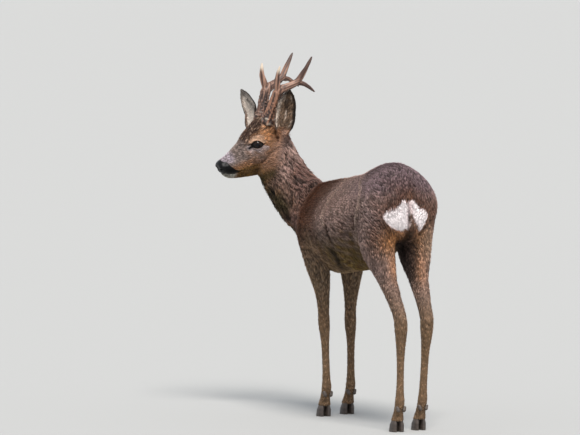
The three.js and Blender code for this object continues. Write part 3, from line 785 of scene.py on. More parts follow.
def patch_edge(b):
    """How far inside the white patch each place lies, in mm, negative outside it."""
    inside = np.full(len(b), -99.0)
    for lobe in (LEFT_LOBE, RIGHT_LOBE):
        x, z = b[:, 0], b[:, 2]
        top = np.interp(x, lobe["out"], lobe["top"])
        bottom = np.interp(x, lobe["out"], lobe["bottom"])
        past = np.maximum(lobe["out"][0] - x, x - lobe["out"][-1])
        inside = np.maximum(inside, np.minimum(np.minimum(top - z, z - bottom), -past))
    return np.where(b[:, 1] > 255, inside, -99)


print("the patch is", LEFT_LOBE["out"][-1] - RIGHT_LOBE["out"][0], "mm wide")

# %% [markdown]
# The body is grey-brown, greyer over the hips and warm brown on the shoulder. Rust rings the white
# patch, with ochre and orange tan below it. Painted shade makes the hollow between the thighs nearly
# black and darkens the belly, the armpit and the dimple of the stifle; a painted pool of light lies on
# the right thigh. Ridges get painted highlights and the lines beside them painted shade, more on the
# left side, where the body bends.

# %% The markings of the body
ARMPIT_SHADOW = [(80, -2, 436), (60, -15, 416), (34, -54, 394)]


def lay_hindquarters(coat, b, normals, out, rough):
    y, z = b[:, 1], b[:, 2]
    hind = step(170, 240, y)
    edge = patch_edge(b) + 1.3 * waves(b, 8, 5) + 0.9 * waves(b, 3, 6)
    coat.lay(RUST, 0.85 * (hind * step(-78, -6, edge) * step(-0.1, 0.5, normals[:, 1] + 0.15 * rough)))
    coat.spots(
        b,
        (OCHRE, 0.9, (34, 290, 474), (40, 46, 34)),
        (OCHRE, 0.7, (-46, 290, 474), (28, 46, 34)),
        # A painted pool of light on the outside of the right thigh.
        (LEG_FAWN * [1.6, 1.75, 2.1], 0.85, (-64, 288, 468), (20, 30, 50)),
        (RUST, 0.6, (74, 262, 484), (34, 34, 48)),
    )
    flecks = step(0.2, 0.9, waves(b * [1, 1, 1.6], 3.6, 8, 7)) * bump(b, (HIND_X, 290, 478), (84, 50, 34))
    coat.lay(UMBER * 0.7, 0.45 * flecks)
    # Painted shade in the hollow down the middle between the thighs.
    coat.lay(NEARLY_BLACK, 0.88 * step(15, 6, abs(out + 6)) * hind * step(516, 496, z))
    # Painted shade on the insides of the thighs, where they face each other.
    facing_in = step(0.45, 0.9, -normals[:, 0] * np.sign(out))
    inner_thigh = step(30, 120, y) * step(500, 470, z) * step(330, 400, z)
    coat.lay(NEARLY_BLACK, 0.78 * facing_in * inner_thigh)
    coat.spots(
        b,
        (OCHRE, 0.75, (18, 268, 480), (20, 40, 26)),
        (ORANGE_TAN, 0.8, (30, 290, 416), (16, 24, 44)),
        (ORANGE_TAN, 0.6, (-46, 296, 408), (16, 22, 44)),
    )
    return edge


def lay_ridges(coat, out, mirrored):
    z = mirrored[:, 2]
    seen = 0.25 + 0.75 * (out > 0)
    # Painted highlights along the ridges behind the shoulder blade and in front of the hip.
    for line in (BLADE_RIDGE, HIP_RIDGE):
        coat.lay(RIDGE_HIGHLIGHT, 0.9 * seen * along_fold(mirrored, line, 5.8))
    # Painted shade in thin lines beside the ridges, thinning out towards their ends.
    for line in (BLADE_LINE, HIP_SHADOW, CHEST_LINE):
        upper, lower = line[0][2], line[-1][2]
        thin_ends = step(lower - 8, lower + 16, z) * step(upper + 8, upper - 16, z)
        coat.lay(UMBER * 0.4, 0.95 * seen * thin_ends * along_fold(mirrored, line, 6.5))
    coat.spots(
        mirrored,
        (UMBER, 0.4, (92, -100, 522), (40, 60, 44)),
        (LEG_DARK * 1.25, 0.5, (78, -140, 440), (40, 50, 44)),
    )
    return seen


def body_colour(points, normals):
    b = body_mm(points)
    y, z = b[:, 1], b[:, 2]
    out, mirrored = straight(b)[:, 0], folded(straight(b))
    rough = waves(b, 26, 3)
    coat = Glaze(GREY_BROWN, len(b))
    coat.lay(SHOULDER_BROWN, 0.35 * step(0, 1.1, waves(b, 34, 7)))
    coat.lay(HIP_GREY, 0.75 * (step(40, 190, y) * step(560, 620, z)))
    # Greyer and darker towards the bottom of the barrel.
    coat.lay(FLANK_GREY_AND_CLEFT_SHADOW, (1 - step(430, 520, z)) * (1 - step(120, 190, y)))
    # The underside: its ochre hair, darkened as painted shade where little light reaches from below, with
    # umber flecks as painted shade between the tufts.
    under = step(-0.35, -0.85, normals[:, 2] + 0.2 * waves(b, 9, 9)) * (1 - step(150, 260, y))
    coat.lay(BELLY_OCHRE_IN_SHADE, 0.85 * under)
    coat.lay(UMBER * 0.7, 0.7 * under * step(0.1, 0.8, waves(b, 5, 10, 7)))
    coat.lay(SHOULDER_BROWN, 0.85 * ((1 - step(-120, -20, y + 12 * rough)) * step(330, 470, z)))
    legs, low = leg_share(points), 1 - step(240, 420, z)
    leg = Glaze(LEG_DARK, len(b))
    leg.lay(LEG_FAWN, 0.25 + 0.6 * step(-0.2, 0.6, normals[:, 1]))
    coat.lay(leg.colour, legs * low)
    coat.lay(LEG_DARK, 0.75 * legs * (1 - low) * (y < 0))
    edge = lay_hindquarters(coat, b, normals, out, rough)
    seen = lay_ridges(coat, out, mirrored)
    coat.spots(
        b,
        (BACK_ROSE, 0.6, (40, 100, 620), (70, 90, 40)),
        (BACK_ROSE, 0.5, (79, 262, 546), (30, 30, 34)),
    )
    # Painted shade in the dimple at the stifle fold.
    coat.lay(UMBER * 0.4, 0.9 * seen * bump(mirrored, (84, 184, 526), (9, 6, 6)))
    # Painted shadow between the foreleg and the belly.
    coat.lay(NEARLY_BLACK, 0.85 * along_line(mirrored, ARMPIT_SHADOW, 17))
    coat.spots(b, (FACE_TAN, 0.12, (HIND_X - 2, 300, 592), (9, 22, 14)))
    coat.lay(PATCH_WHITE, step(-2.5, 2.0, edge))
    # Painted shade: grey in the crease of the cleft between the lobes.
    coat.lay(FLANK_GREY_AND_CLEFT_SHADOW, 0.75 * along_fold(b, CLEFT, 3))
    return coat.colour


sample = points_of(skin.data)[::50], normals_of(skin.data)[::50]
print("body colours on average:", body_colour(*sample).mean(0).round(3))

# %% [markdown]
# The neck is brown and rosier above, lighter where it faces up as painted light, and painted dark olive
# down the throat and where it faces down, as painted shade.

# %% The markings of the neck
THROAT_LINE = [(120, -378, 596), (112, -370, 580), (104, -350, 566), (96, -318, 546), (86, -290, 524)]


def neck_colour(points, normals):
    b = body_mm(points)
    neck = Glaze(NECK_BROWN, len(b))
    # Rosier and lighter where the neck faces up, partly painted light.
    neck.lay(NECK_ROSE, 0.7 * step(0.1, 0.75, normals[:, 2] + 0.25 * waves(b, 30, 11)))
    # Painted shade: dark olive where the neck faces down and along the throat.
    under = step(0.05, 0.7, normals @ [0.25, -0.7, -0.65] + 0.2 * waves(b, 22, 12))
    neck.lay(THROAT_SHADE, 0.9 * np.maximum(under, 0.9 * along_line(b, THROAT_LINE, 24)))
    neck.lay(FACE_TAN, 0.12 * step(0.35, 1.0, waves(b * [1, 1, 0.7], 12, 13)))
    return neck.colour


print("neck colours on average:", neck_colour(*sample).mean(0).round(3))

# %% [markdown]
# The face has tan cheeks, a grey front with a lilac bridge that is partly a painted highlight, a dark
# crown with cream flecks, pale rings round the eyes, a black muzzle and a white chin. The muzzle's
# black ends on a line that falls from the bridge of the nose to the corner of the mouth.

# %% The markings of the head
BLACK_EDGE_Z = [-36, -32, -26, -19, -12, 2.5, 7]
BLACK_EDGE_Y = [58, 56, 45, 38, 33, 27, 17]
TEAR = [(31, 101, 19.5), (28, 96, 17), (27, 93, 15.5)]  # the dark corner of the eye and its gland


def lay_eye_rings(face, local, fine):
    for side in (LEFT, RIGHT):
        _, far, u, v, margin = eye_place(local, side)
        close = (far < EYE_RADIUS + 16) & (np.sign(local[:, 0]) == side)
        outside, ragged = step(1.0, 2.6, margin), margin + 1.2 * fine
        brow = step(11, 7, margin) * step(4, 6, margin) * step(0.1, 0.5, v) * step(0.9, 0.5, abs(u))
        face.lay(EYE_CREAM, 0.45 * brow * close)
        face.lay(EYE_CREAM, 0.9 * outside * step(7.5, 4.2, ragged) * close * step(-0.1, 0.35, v))
        face.lay(EYE_LILAC, 0.85 * outside * step(8.4, 4.6, ragged) * close * step(0.1, -0.35, v))
        face.lay(BLACK, step(1.9, 0.8, margin) * close)


def head_colour(points, normals):
    local = head_mm(points)
    m = folded(local)
    s, y, z = m.T
    rough, fine = waves(local, 14, 21), waves(local, 5, 22)
    face = Glaze(CHEEK_BROWN, len(m))
    face.spots(
        m,
        (FACE_TAN, 0.9, (38, 140, 42), (24, 40, 34)),
        (FACE_TAN, 0.7, (28, 62, -28), (18, 34, 14)),
    )
    face.lay(FACE_TAN, 0.45 * step(-40, -56, z) * step(150, 110, y) * step(30, 50, y))
    face.lay(JAW_OCHRE, 0.7 * step(-20, -32, z) * step(120, 90, y) * step(38, 52, y))
    grey = step(112, 78, y + 6 * rough) * step(-26, -8, z - 0.1 * y + 5 * rough)
    face.lay(BRIDGE_GREY, 0.92 * grey)
    face.spots(m, (BRIDGE_GREY, 0.5, (42, 112, -12), (14, 20, 14)))
    crown = step(66, 88, y + 8 * rough) * step(172, 156, y) * step(36, 24, s + 7 * rough)
    crown = crown * step(16, 34, z) * step(-0.2, 0.2, (normals @ HEAD_AXES)[:, 2])
    face.lay(CROWN_DARK, 0.95 * crown)
    face.lay(EYE_CREAM, 0.42 * crown * step(0.35, 0.9, waves(local * [1, 0.7, 1], 1.6, 25, 9)))
    specks = step(0.55, 1.1, waves(local, 3.4, 23, 7)) * step(40, 70, y) * step(150, 110, y)
    face.lay(CROWN_DARK, 0.5 * specks)
    # Pale lilac over the bridge above the nose, partly its pale hair and partly a painted highlight.
    face.lay(LAVENDER, 0.95 * step(56, 40, y + 3 * rough) * step(-8, 3, z + 2 * fine))
    lay_eye_rings(face, local, fine)
    face.lay(BLACK, np.clip(1.15 * along_fold(m, TEAR, 3.7), 0, 1))
    above_mouth = z - np.interp(y, MOUTH_Y, MOUTH_Z)
    edge = np.interp(z, BLACK_EDGE_Z, BLACK_EDGE_Y) - y + 0.9 * fine
    face.lay(LIP_WHITE, 0.9 * (step(0.6, -1.2, above_mouth) * step(48, 36, y + 3 * rough)))
    face.lay(BLACK, step(-1.2, 1.2, edge) * step(-2.0, 0.2, above_mouth))
    face.spots(
        m,
        (LIP_WHITE, 0.85, (16.5, 15, -25.5), (3.2, 4.5, 1.8)),
        (NEARLY_BLACK, 0.8, (24, 54, -32), (6, 6, 2.2)),
    )
    # Painted shade under the jaw and down the throat.
    throat = step(96, 128, y) * step(-48, -64, z + 4 * rough)
    face.lay(THROAT_SHADE, 0.85 * np.maximum(throat, along_line(body_mm(points), THROAT_LINE, 20)))
    face.spots(m, (NAPE_PINK, 0.8, (44, 196, 2), (16, 14, 26)))
    tufted = Glaze(CROWN_DARK, len(m))
    tufted.lay(EYE_CREAM, step(-0.3, 0.5, waves(local, 3.2, 26, 7)))
    face.lay(tufted.colour, 0.85 * bump(m, (19, 164, 62), (19, 18, 14)))
    return face.colour


print("head colours on average:", head_colour(*sample).mean(0).round(3))

# %% [markdown]
# An ear is brown behind and has a black rim. Its lining of pale hair is streaked lengthwise: painted
# shade darkens the middle of the near ear, and painted light keeps the far one, which the light falls
# into, cream all over.


# %% The markings of the ears
def ear_colour(points, side):
    x, y, z = ear_mm(points, side).T
    t = z / EAR_LENGTH
    curl, radius, middle = ear_roll(t)
    distance, angle = np.hypot(x, y - middle), np.arctan2(x, y - middle)
    around = angle / curl
    near = 0.0 if side == "right" else 1.0

    def lengthwise(width, length, size, *seeds):
        return waves(np.column_stack([angle * width, z * length, 0 * z]), size, *seeds)

    lining = Glaze(EAR_MIDDLE, len(x))
    # Painted light: the far lining is cream all over, the near one only at its edge.
    lining.lay(EAR_CREAM * (1.1 - 0.1 * near), 0.95 * (1 - near) + near * step(-0.3, -0.95, around))
    # Darker streaks of the hair, stronger in the near ear as painted shade.
    lining.lay(EAR_STREAK * 0.45, (0.35 + 0.55 * near) * step(0.1, 0.9, lengthwise(26, 0.22, 5, 31, 6)))
    # Painted shade: dark brown streaks in the hollow of the near ear only.
    lining.lay(CROWN_DARK, 0.55 * near * step(0.5, 1.1, lengthwise(20, 0.3, 9, 33)))
    lining.lay(EAR_CREAM, 0.28 * near * step(0.3, 0.95, lengthwise(30, 0.25, 4, 35, 6)))
    inside = step(0.9, 1.6, radius - distance + 0.2)
    rim = np.maximum(step(0.6, 0.78, around), step(0.93, 0.99, -around))
    rim = np.maximum(rim, step(0.78, 0.9, t))
    leaf = Glaze(EAR_BROWN, len(x))
    leaf.lay(lining.colour, inside)
    leaf.lay(BLACK, 0.94 * rim * (1 - 0.35 * inside))
    return leaf.colour


print("ear colours on average:", [ear_colour(sample[0], side).mean().round(3) for side in SIDES])

# %% [markdown]
# All markings together: the body first, then the neck over it, the head over the neck, and the ears
# over the head, each fading in where it begins. The painted shade in the fold of the neck, the umber
# band over the withers and the painted shadow of the jaw cross these borders, so they are laid in
# between.

# %% Lay the markings on the skin
WITHERS_BAND = [(24, -206, 590), (46, -190, 568), (66, -180, 548), (80, -184, 520)]
JAW_SHADOW = [(128, -372, 596), (118, -355, 606), (106, -340, 614)]
NAPE_HIGHLIGHT = [(80, -354, 684), (84, -350, 668), (74, -332, 634), (80, -317, 608)]


def markings(points, normals):
    """The colour of the animal at each place."""
    b = body_mm(points)
    neck, head, leaves = neck_share(points), head_share(points), ear_share(points)
    coat = Glaze(0, 0)
    coat.colour = mixed(body_colour(points, normals), neck_colour(points, normals), neck)
    coat.lay(UMBER, 0.85 * along_line(b, WITHERS_BAND, 46) * (1 - neck))
    coat.spots(
        b,
        (NECK_ROSE * 1.25, 0.8, (75, -254, 499), (26, 26, 28)),
        # Painted shade down the front of the neck.
        (THROAT_SHADE * 0.5, 0.5, (95, -313, 546), (30, 24, 28)),
    )
    # Painted shade in the fold of the neck.
    coat.lay(NEARLY_BLACK, (0.3 + 0.6 * (b[:, 0] > 0)) * along_fold(folded(b), NECK_FOLD[:4], 6.5))
    own = np.nonzero(head > 0.01)[0]
    coat.colour[own] = mixed(coat.colour[own], head_colour(points[own], normals[own]), head[own])
    coat.lay(THROAT_SHADE, 0.85 * along_line(b, JAW_SHADOW, 15))
    # A painted highlight along the back of the upper neck.
    coat.lay(NAPE_PINK, 0.2 * along_line(b, NAPE_HIGHLIGHT, 17))
    coat.spots(
        b, (NAPE_PINK, 0.5, (42, -364, 668), (24, 26, 34)), (UMBER, 0.6, (98, -345, 727), (14, 18, 14))
    )
    for side in SIDES:
        own = np.nonzero((leaves > 0.01) & (np.sign(head_mm(points)[:, 0]) == SIDES[side]))[0]
        coat.colour[own] = mixed(coat.colour[own], ear_colour(points[own], side), leaves[own])
    return np.clip(coat.colour, 0.003, 0.9)


def write_colour(mesh, colour, name="marking"):
    layer = mesh.color_attributes.new(name, "FLOAT_COLOR", "POINT")
    rows = np.column_stack([colour, np.ones(len(colour))])
    layer.data.foreach_set("color", rows.astype(np.float32).ravel())


write_colour(skin.data, markings(points_of(skin.data), normals_of(skin.data)))
print("colours written on", len(skin.data.vertices), "points")

# %% [markdown]
# ## Materials
# All surfaces but the coat are made alike: the colour of the marking, times a fine pattern that
# darkens it here and there, with the same pattern as a bump. So one small builder makes them all.


# %% Build a material from nodes
def paint(name, colour, roughness):
    material = bpy.data.materials.new(name)
    material.use_nodes = True
    shader = material.node_tree.nodes["Principled BSDF"]
    shader.inputs["Base Color"].default_value = (*colour, 1)
    shader.inputs["Roughness"].default_value = roughness
    return material, material.node_tree, shader


def add_node(tree, kind, inputs, **settings):
    """A new node. Each input is given its value, or the output of another node that feeds it."""
    node = tree.nodes.new("ShaderNode" + kind)
    for key, value in settings.items():
        setattr(node, key, value)
    for key, value in inputs.items():
        if isinstance(value, bpy.types.NodeSocket):
            tree.links.new(value, node.inputs[key])
        else:
            node.inputs[key].default_value = value
    return node


def attribute(tree, name):
    return add_node(tree, "Attribute", {}, attribute_name=name).outputs["Color"]


def times(tree, colour, factor):
    inputs = {"Factor": 1.0, "A": colour, "B": factor}
    return add_node(tree, "Mix", inputs, data_type="RGBA", blend_type="MULTIPLY").outputs["Result"]


def noise(tree, **inputs):
    return add_node(tree, "TexNoise", inputs).outputs["Fac"]


def marked(look, pattern, shade, bumps=None, sunk=False, **shine):
    """A material in the colours of the marking, with a fine pattern that shades and roughens it."""
    material, tree, shader = paint(*look)
    fine = pattern(tree)
    darker = add_node(tree, "MapRange", {"Value": fine, **shade}).outputs["Result"]
    tree.links.new(times(tree, attribute(tree, "marking"), darker), shader.inputs["Base Color"])
    if bumps:
        inputs = {"Strength": bumps[0], "Distance": bumps[1], "Height": fine}
        relief = add_node(tree, "Bump", inputs, invert=sunk)
        tree.links.new(relief.outputs["Normal"], shader.inputs["Normal"])
    for socket, value in shine.items():
        shader.inputs[socket.replace("_", " ")].default_value = value
    return material


print("materials so far:", len(bpy.data.materials))

# %% [markdown]
# Short, flat hair shows mostly as a fine sheen and a silky grain. The grain is a noise squeezed
# across the lie of the hair. The nose pad is bare, wet skin with a fine pebbled grain, so its faces
# get a material of their own; the pebbles come from a cell pattern, each cell a little dome.


# %% Short fur and a wet nose
def silky(tree):
    place = add_node(tree, "TexCoord", {}).outputs["Object"]
    squeeze = add_node(tree, "Mapping", {"Vector": place, "Scale": (1, 0.35, 0.5)})
    return noise(tree, Vector=squeeze.outputs["Vector"], Scale=900, Detail=3)


def pebbled(tree):
    return add_node(tree, "TexVoronoi", {"Scale": 620}).outputs["Distance"]


SHORT_FUR = marked(
    ("short_fur", (0.3, 0.2, 0.15), 0.62),
    silky,
    {"From Min": 0.3, "From Max": 0.7, "To Min": 0.55, "To Max": 1.05},
    bumps=(0.5, 0.0008),
    Specular_IOR_Level=0.08,
)
WET_NOSE = marked(
    ("wet_nose", (0.004, 0.0035, 0.004), 0.36),
    pebbled,
    {"To Min": 1.15, "To Max": 0.5},
    bumps=(0.35, 0.0005),
    sunk=True,
    Specular_IOR_Level=0.2,
)


def before_black_edge(local):
    """How far each place lies in front of the edge of the black muzzle, in mm."""
    return np.interp(local[:, 2], BLACK_EDGE_Z, BLACK_EDGE_Y) - local[:, 1]


def above_mouth(local):
    return local[:, 2] - np.interp(local[:, 1], MOUTH_Y, MOUTH_Z)


skin.data.materials.clear()
for material in (SHORT_FUR, WET_NOSE):
    skin.data.materials.append(material)
points = points_of(skin.data)
local = head_mm(points)
wet = (head_share(points) > 0.5) & (before_black_edge(local) > 1.5) & (above_mouth(local) > 0.5)
pad = wet[corners_of(skin.data)].all(1)
skin.data.polygons.foreach_set("material_index", pad.astype(np.int32))
print("nose pad:", int(pad.sum()), "triangles")

# %% [markdown]
# ## The coat
# Hair could be grown with Blender's own hair system, but only real mesh leaves this file, so every
# tuft here is a small closed solid: a point at the root, a three-sided waist, and a point at the
# tip. Six triangles make a short tuft; long hair gets a second waist, so that it can bend. A tuft
# stands for a few hairs stuck together. They are laid by arrays: pick places on the skin, ask for
# the lie of the hair there, and write all corners of all tufts at once.

# %% Pick places on the skin
skin_points, skin_normals = points_of(skin.data), normals_of(skin.data)
corners = corners_of(skin.data)
flat_map = read(skin.data.uv_layers["OFBake"].data, "uv", 2).reshape(-1, 3, 2)
a, b, c = (skin_points[corners[:, k]] for k in range(3))
areas = np.linalg.norm(np.cross(b - a, c - a), axis=1) / 2
centres = (a + b + c) / 3
near_skin = BVHTree.FromPolygons(skin_points.tolist(), corners.tolist())
chance = np.random.RandomState(7)


def places(weights, count):
    """Roots spread over the skin's triangles in proportion to their weights."""
    ladder = np.cumsum(weights)
    steps = (np.arange(count) + chance.rand(count)) * (ladder[-1] / count)
    which = np.clip(np.searchsorted(ladder, steps), 0, len(weights) - 1)
    first, second = chance.rand(2, count)
    fold = first + second > 1
    first[fold], second[fold] = 1 - first[fold], 1 - second[fold]
    shares = np.column_stack([1 - first - second, first, second])[:, :, None]
    roots = (skin_points[corners[which]] * shares).sum(1)
    normals = unit((skin_normals[corners[which]] * shares).sum(1))
    return roots, normals, (flat_map[which] * shares).sum(1)


print("skin to cover:", round(float(areas.sum()), 2), "m2")

# %% [markdown]
# The lie of the hair is a direction at every place: backwards over the barrel, down the legs,
# from the nose towards the ears on the face, and along each ear to its tip. Real hair never lies
# quite straight, so slow waves turn it a little, neighbours together.

# %% The lie of the hair
BODY_WAY, LEG_WAY = [0.0, 1.0, -0.38], [0.0, 0.1, -1.0]
CHEST_WAY, RUMP_WAY = [0.0, 0.2, -1.0], [0.0, 0.25, -1.0]
NECK_WAY = np.array([-66, 169, -158]) / 240


def crown_share(points):
    """1 on the dark curly crown, between the antlers and the brows."""
    local = folded(head_mm(points))
    s, y, z = local.T
    off_eye = step(26, 36, np.linalg.norm(local - EYE_PLACE, axis=1))
    across = step(42, 26, s) * step(16, 34, z)
    return head_share(points) * off_eye * across * step(66, 88, y) * step(184, 165, y)


def lie_on_body(points, normals, lobes):
    b = body_mm(points)
    neck, head = neck_share(points), head_share(points)
    flow = np.tile(BODY_WAY, (len(b), 1))
    flow[:, 2] -= 0.5 * step(540, 420, b[:, 2])
    flow = mixed(flow, RUMP_WAY, step(0.35, 0.85, normals[:, 1]) * step(200, 260, b[:, 1]))
    sideways = -0.75 * np.sign(b[:, 0] + 10)
    flow = mixed(flow, np.column_stack([sideways, 0 * sideways, 0 * sideways - 1]), lobes)
    chest = step(-0.2, -0.8, normals[:, 1]) * (1 - head)
    flow = mixed(flow, NECK_WAY, neck * (1 - 0.5 * chest))
    flow = mixed(flow, CHEST_WAY, chest * (1 - neck))
    return mixed(flow, LEG_WAY, leg_share(points))


def lie_on_head(local):
    x, y, z = local.T
    crown = step(30, 48, z) * step(90, 130, y)
    flow = np.tile([0.0, 1.0, -0.12], (len(local), 1))
    flow[:, 0] += 0.25 * np.sign(x) * crown
    flow[:, 2] += 0.7 * crown - 0.35 * step(10, -30, z) - 0.8 * step(150, 190, y)
    return flow @ HEAD_AXES.T


def fold_way(points, line):
    """The way a bent line runs, at its piece nearest to each point."""
    line = np.array(line, float)
    nearest, way = np.full(len(points), 1e9), np.zeros((len(points), 3))
    for a, c in zip(line[:-1], line[1:]):
        span = c - a
        t = np.clip((points - a) @ span / (span @ span), 0, 1)
        far = np.linalg.norm((points - a - t[:, None] * span) * FLAT, axis=1)
        way[far < nearest] = span / np.linalg.norm(span)
        nearest = np.minimum(nearest, far)
    return way


def lie_of_hair(points, normals):
    b, local = body_mm(points), head_mm(points)
    neck, leaves = neck_share(points), ear_share(points)
    lobes = step(-14, 4, patch_edge(b))
    flow = mixed(lie_on_body(points, normals, lobes), lie_on_head(local), head_share(points))
    out, mirrored = straight(b)[:, 0], folded(straight(b))
    way = fold_way(mirrored, NECK_FOLD)
    way[:, 0] *= np.sign(out)
    flow = mixed(flow, way, 0.9 * along_fold(mirrored - [0, 4, 0], NECK_FOLD, 11))
    for name, sign in SIDES.items():
        own = (leaves > 0.01) & (np.sign(local[:, 0]) == sign)
        x = ear_mm(points[own], name)[:, 0]
        up_ear = np.column_stack([x * 0.02, 0 * x, 1 + 0 * x]) @ ear_axes(name).T @ HEAD_AXES.T
        flow[own] = mixed(flow[own], up_ear, leaves[own])
    flow = unit(flow - normals * (flow * normals).sum(1)[:, None])
    angle = 0.13 * waves(b, 48, 41) + 0.1 * waves(b, 17, 42)
    angle = angle + neck * (0.3 * waves(b, 24, 43) + 0.2 * waves(b, 9, 44))
    angle = angle + 0.9 * crown_share(points) * waves(b, 4.5, 45, 7)
    angle = angle + chance.normal(0, 0.12, len(b)) * (1 - 0.6 * lobes)
    return flow * np.cos(angle)[:, None] + np.cross(normals, flow) * np.sin(angle)[:, None]


print("curly crown:", round(float(areas[crown_share(centres) > 0.5].sum()) * 1e4), "cm2")

# %% [markdown]
# Length, width and lift change over the body too. Lift is how far the tip stands off the skin. Hair
# is longest on the neck, where it hangs in loose locks, and shortest on the muzzle and lower legs.

# %% How long, how wide and how loose
BODY_HABIT, NECK_HABIT, EAR_HABIT = [13.0, 1.25, 2.3], [20, 1.9, 4.6], [7.5, 0.8, 0.9]


def habit(points):
    """The length, the width and the lift of the tufts at each place, in mm."""
    b, local = body_mm(points), head_mm(points)
    s, back, up = folded(local).T
    size = np.tile(BODY_HABIT, (len(b), 1))
    size[:, 0] += 2.5 * step(150, 260, b[:, 1]) + 3 * step(430, 390, b[:, 2])
    size = mixed(size, NECK_HABIT, neck_share(points))
    upper = step(150, 420, b[:, 2])
    of_leg = np.column_stack([4.5 + 6.5 * upper, 1 + 0 * upper, 0.8 + 1.2 * upper])
    size = mixed(size, of_leg, leg_share(points))
    size = size + np.outer(step(-8, 6, patch_edge(b)), [3, 0.3, -1.3])
    face = 3.0 + 3.2 * step(30, 90, back) + 5 * step(130, 180, back)
    face += 5.0 * crown_share(points) + 2.5 * step(-45, -66, up) * step(70, 110, back)
    round_eye = np.linalg.norm(np.column_stack([s, back, up]) - [45, 110, 21], axis=1)
    face = face * (1 - 0.5 * np.exp(-(((round_eye - 14) / 7) ** 2)))
    of_head = np.column_stack([face, 0.55 + 0.05 * face, 0.35 + 0.13 * face])
    size = mixed(size, of_head, head_share(points))
    for line in (NECK_FOLD, BLADE_LINE, BLADE_RIDGE, HIP_SHADOW, HIP_RIDGE):
        close = (b[:, 0] > 0) * along_fold(folded(straight(b)) + [0, 3, 0], line, 8)
        size[:, 0] *= 1 - 0.5 * close
    return mixed(size, EAR_HABIT, ear_share(points))


print("average length, width and lift, mm:", habit(centres[::50]).mean(0).round(2))

# %% [markdown]
# Hair hangs together in locks. Neighbouring tufts share a shade and a lift, which come from a noise
# drawn out along the hair. A tuft carries how much lighter or darker than its marking it is, as a
# share of the brightest tuft there may be.

# %% Streaks along the hair
BRIGHTEST = 2.6


def streaks(roots):
    """Noise drawn out along the hair, about -1 to 1."""
    b = body_mm(roots)
    neck, head, leaves = neck_share(roots), head_share(roots), ear_share(roots)
    way = np.tile([0.0, 0.93, -0.36], (len(b), 1))
    way[leg_share(roots) > 0.5] = (0, 0, 1)
    way[neck > 0.5] = NECK_WAY
    way[head > 0.5] = HEAD_AXES[:, 1]
    for name, sign in SIDES.items():
        way[(leaves > 0.5) & (np.sign(head_mm(roots)[:, 0]) == sign)] = HEAD_AXES @ ear_axes(name)[:, 2]
    drawn = 0.72 + 0.12 * neck - 0.3 * head * (1 - leaves)
    squeezed = b - way * ((b * way).sum(1) * drawn)[:, None]
    squeezed = squeezed * (1 + 0.4 * head - 0.4 * neck)[:, None]
    return 1.75 * waves(squeezed, 1.35, 81, 11) + 0.45 * waves(squeezed, 4.6, 82, 7)


def streak_value(locks, luck, depth):
    """How much lighter or darker than its marking a tuft is, as a share of the brightest."""
    level = -0.21 * np.maximum(depth**2 - 0.64, 0)  # more contrast is not to mean a paler coat
    return np.clip(np.exp(depth * locks + 0.3 * (luck - 0.5) + level) / BRIGHTEST, 0, 1)


print("streaks vary by", round(float(streaks(centres[::50]).std()), 2))

# %% [markdown]
# Now a tuft's corners: the root a little under the skin, the waists part of the way along, the tip
# at the end. Each stop is first laid flat along the lie of the hair and then moved to the nearest
# place on the skin, so that tufts follow every hollow and no tip dives under the surface.

# %% Shape the tufts
STOPS = {1: [0.42, 1.0], 2: [0.3, 0.66, 1.0]}  # the waists and the tip, as shares of the length
ROOT_DEPTH = 0.5  # mm under the skin
FIRST_WAIST, SECOND_WAIST = 0.62, 0.42  # half their widths, as shares of the tuft's
WAIST_HEIGHT = 0.5  # as a share of its width, because tufts are flat
ROUND_WAIST = np.arange(3) * 2 * math.pi / 3 + math.pi / 2


def onto_skin(points):
    found = [near_skin.find_nearest(p) for p in points.tolist()]
    return np.array([f[0] for f in found]), np.array([f[1] for f in found])


def tuft_corners(roots, normals, flow, size, sway, waists):
    """For each tuft its root, three corners round each waist, and its tip."""
    long, wide, lift = size.T
    across = np.cross(normals, flow)
    rows = [roots - normals * ROOT_DEPTH * MM]
    for t in STOPS[waists]:
        target = roots + flow * (long * t * MM)[:, None] + across * (sway * t * t * MM)[:, None]
        spot, up = onto_skin(target)
        up = unit(up + normals)
        centre = spot + up * (lift * (0.25 + 0.75 * t) * MM)[:, None]
        if t == 1.0:
            return np.stack([*rows, centre], axis=1)
        half = wide * (FIRST_WAIST if t < 0.5 else SECOND_WAIST) * MM
        for angle in ROUND_WAIST:
            way = across * math.cos(angle) + up * (WAIST_HEIGHT * math.sin(angle))
            rows.append(centre + way * half[:, None])


def tuft_faces(waists):
    faces = []
    for k in range(3):
        n = (k + 1) % 3
        faces.append((0, 1 + n, 1 + k))
        for ring in range(waists - 1):
            low, high = 1 + 3 * ring, 4 + 3 * ring
            faces += [(low + k, low + n, high + n), (low + k, high + n, high + k)]
        last = 1 + 3 * (waists - 1)
        faces.append((last + k, last + n, last + 3))
    return np.array(faces)


def mesh_of(name, points, faces):
    mesh = bpy.data.meshes.new(name)
    mesh.vertices.add(len(points))
    mesh.loops.add(faces.size)
    mesh.polygons.add(len(faces))
    mesh.vertices.foreach_set("co", points.astype(np.float32).ravel())
    mesh.polygons.foreach_set("loop_start", np.arange(0, faces.size, 3, dtype=np.int32))
    mesh.loops.foreach_set("vertex_index", faces.astype(np.int32).ravel())
    return mesh


print("triangles of a short and a long tuft:", [len(tuft_faces(waists)) for waists in STOPS])

# %% [markdown]
# A tuft takes the marking of the skin under its middle, and is darker at the root, where hardly any
# light gets down. On the map it lies as a tiny diamond at the spot of its root.

# %% Colour the tufts and lay those of one region
TUFT_ON_MAP = (0.0022, 0.001)  # length and half the width of that diamond
LENGTHS, WIDTHS, LIFTS = (0.75, 1.25), (0.7, 1.35), (0.45, 1.35)  # least and most, as shares
SWAY = 0.07  # how far a tip usually swings sideways, as a share of the length
ROOT_SHADE = (0.36, 0.98)  # of a dark tuft and of a white one


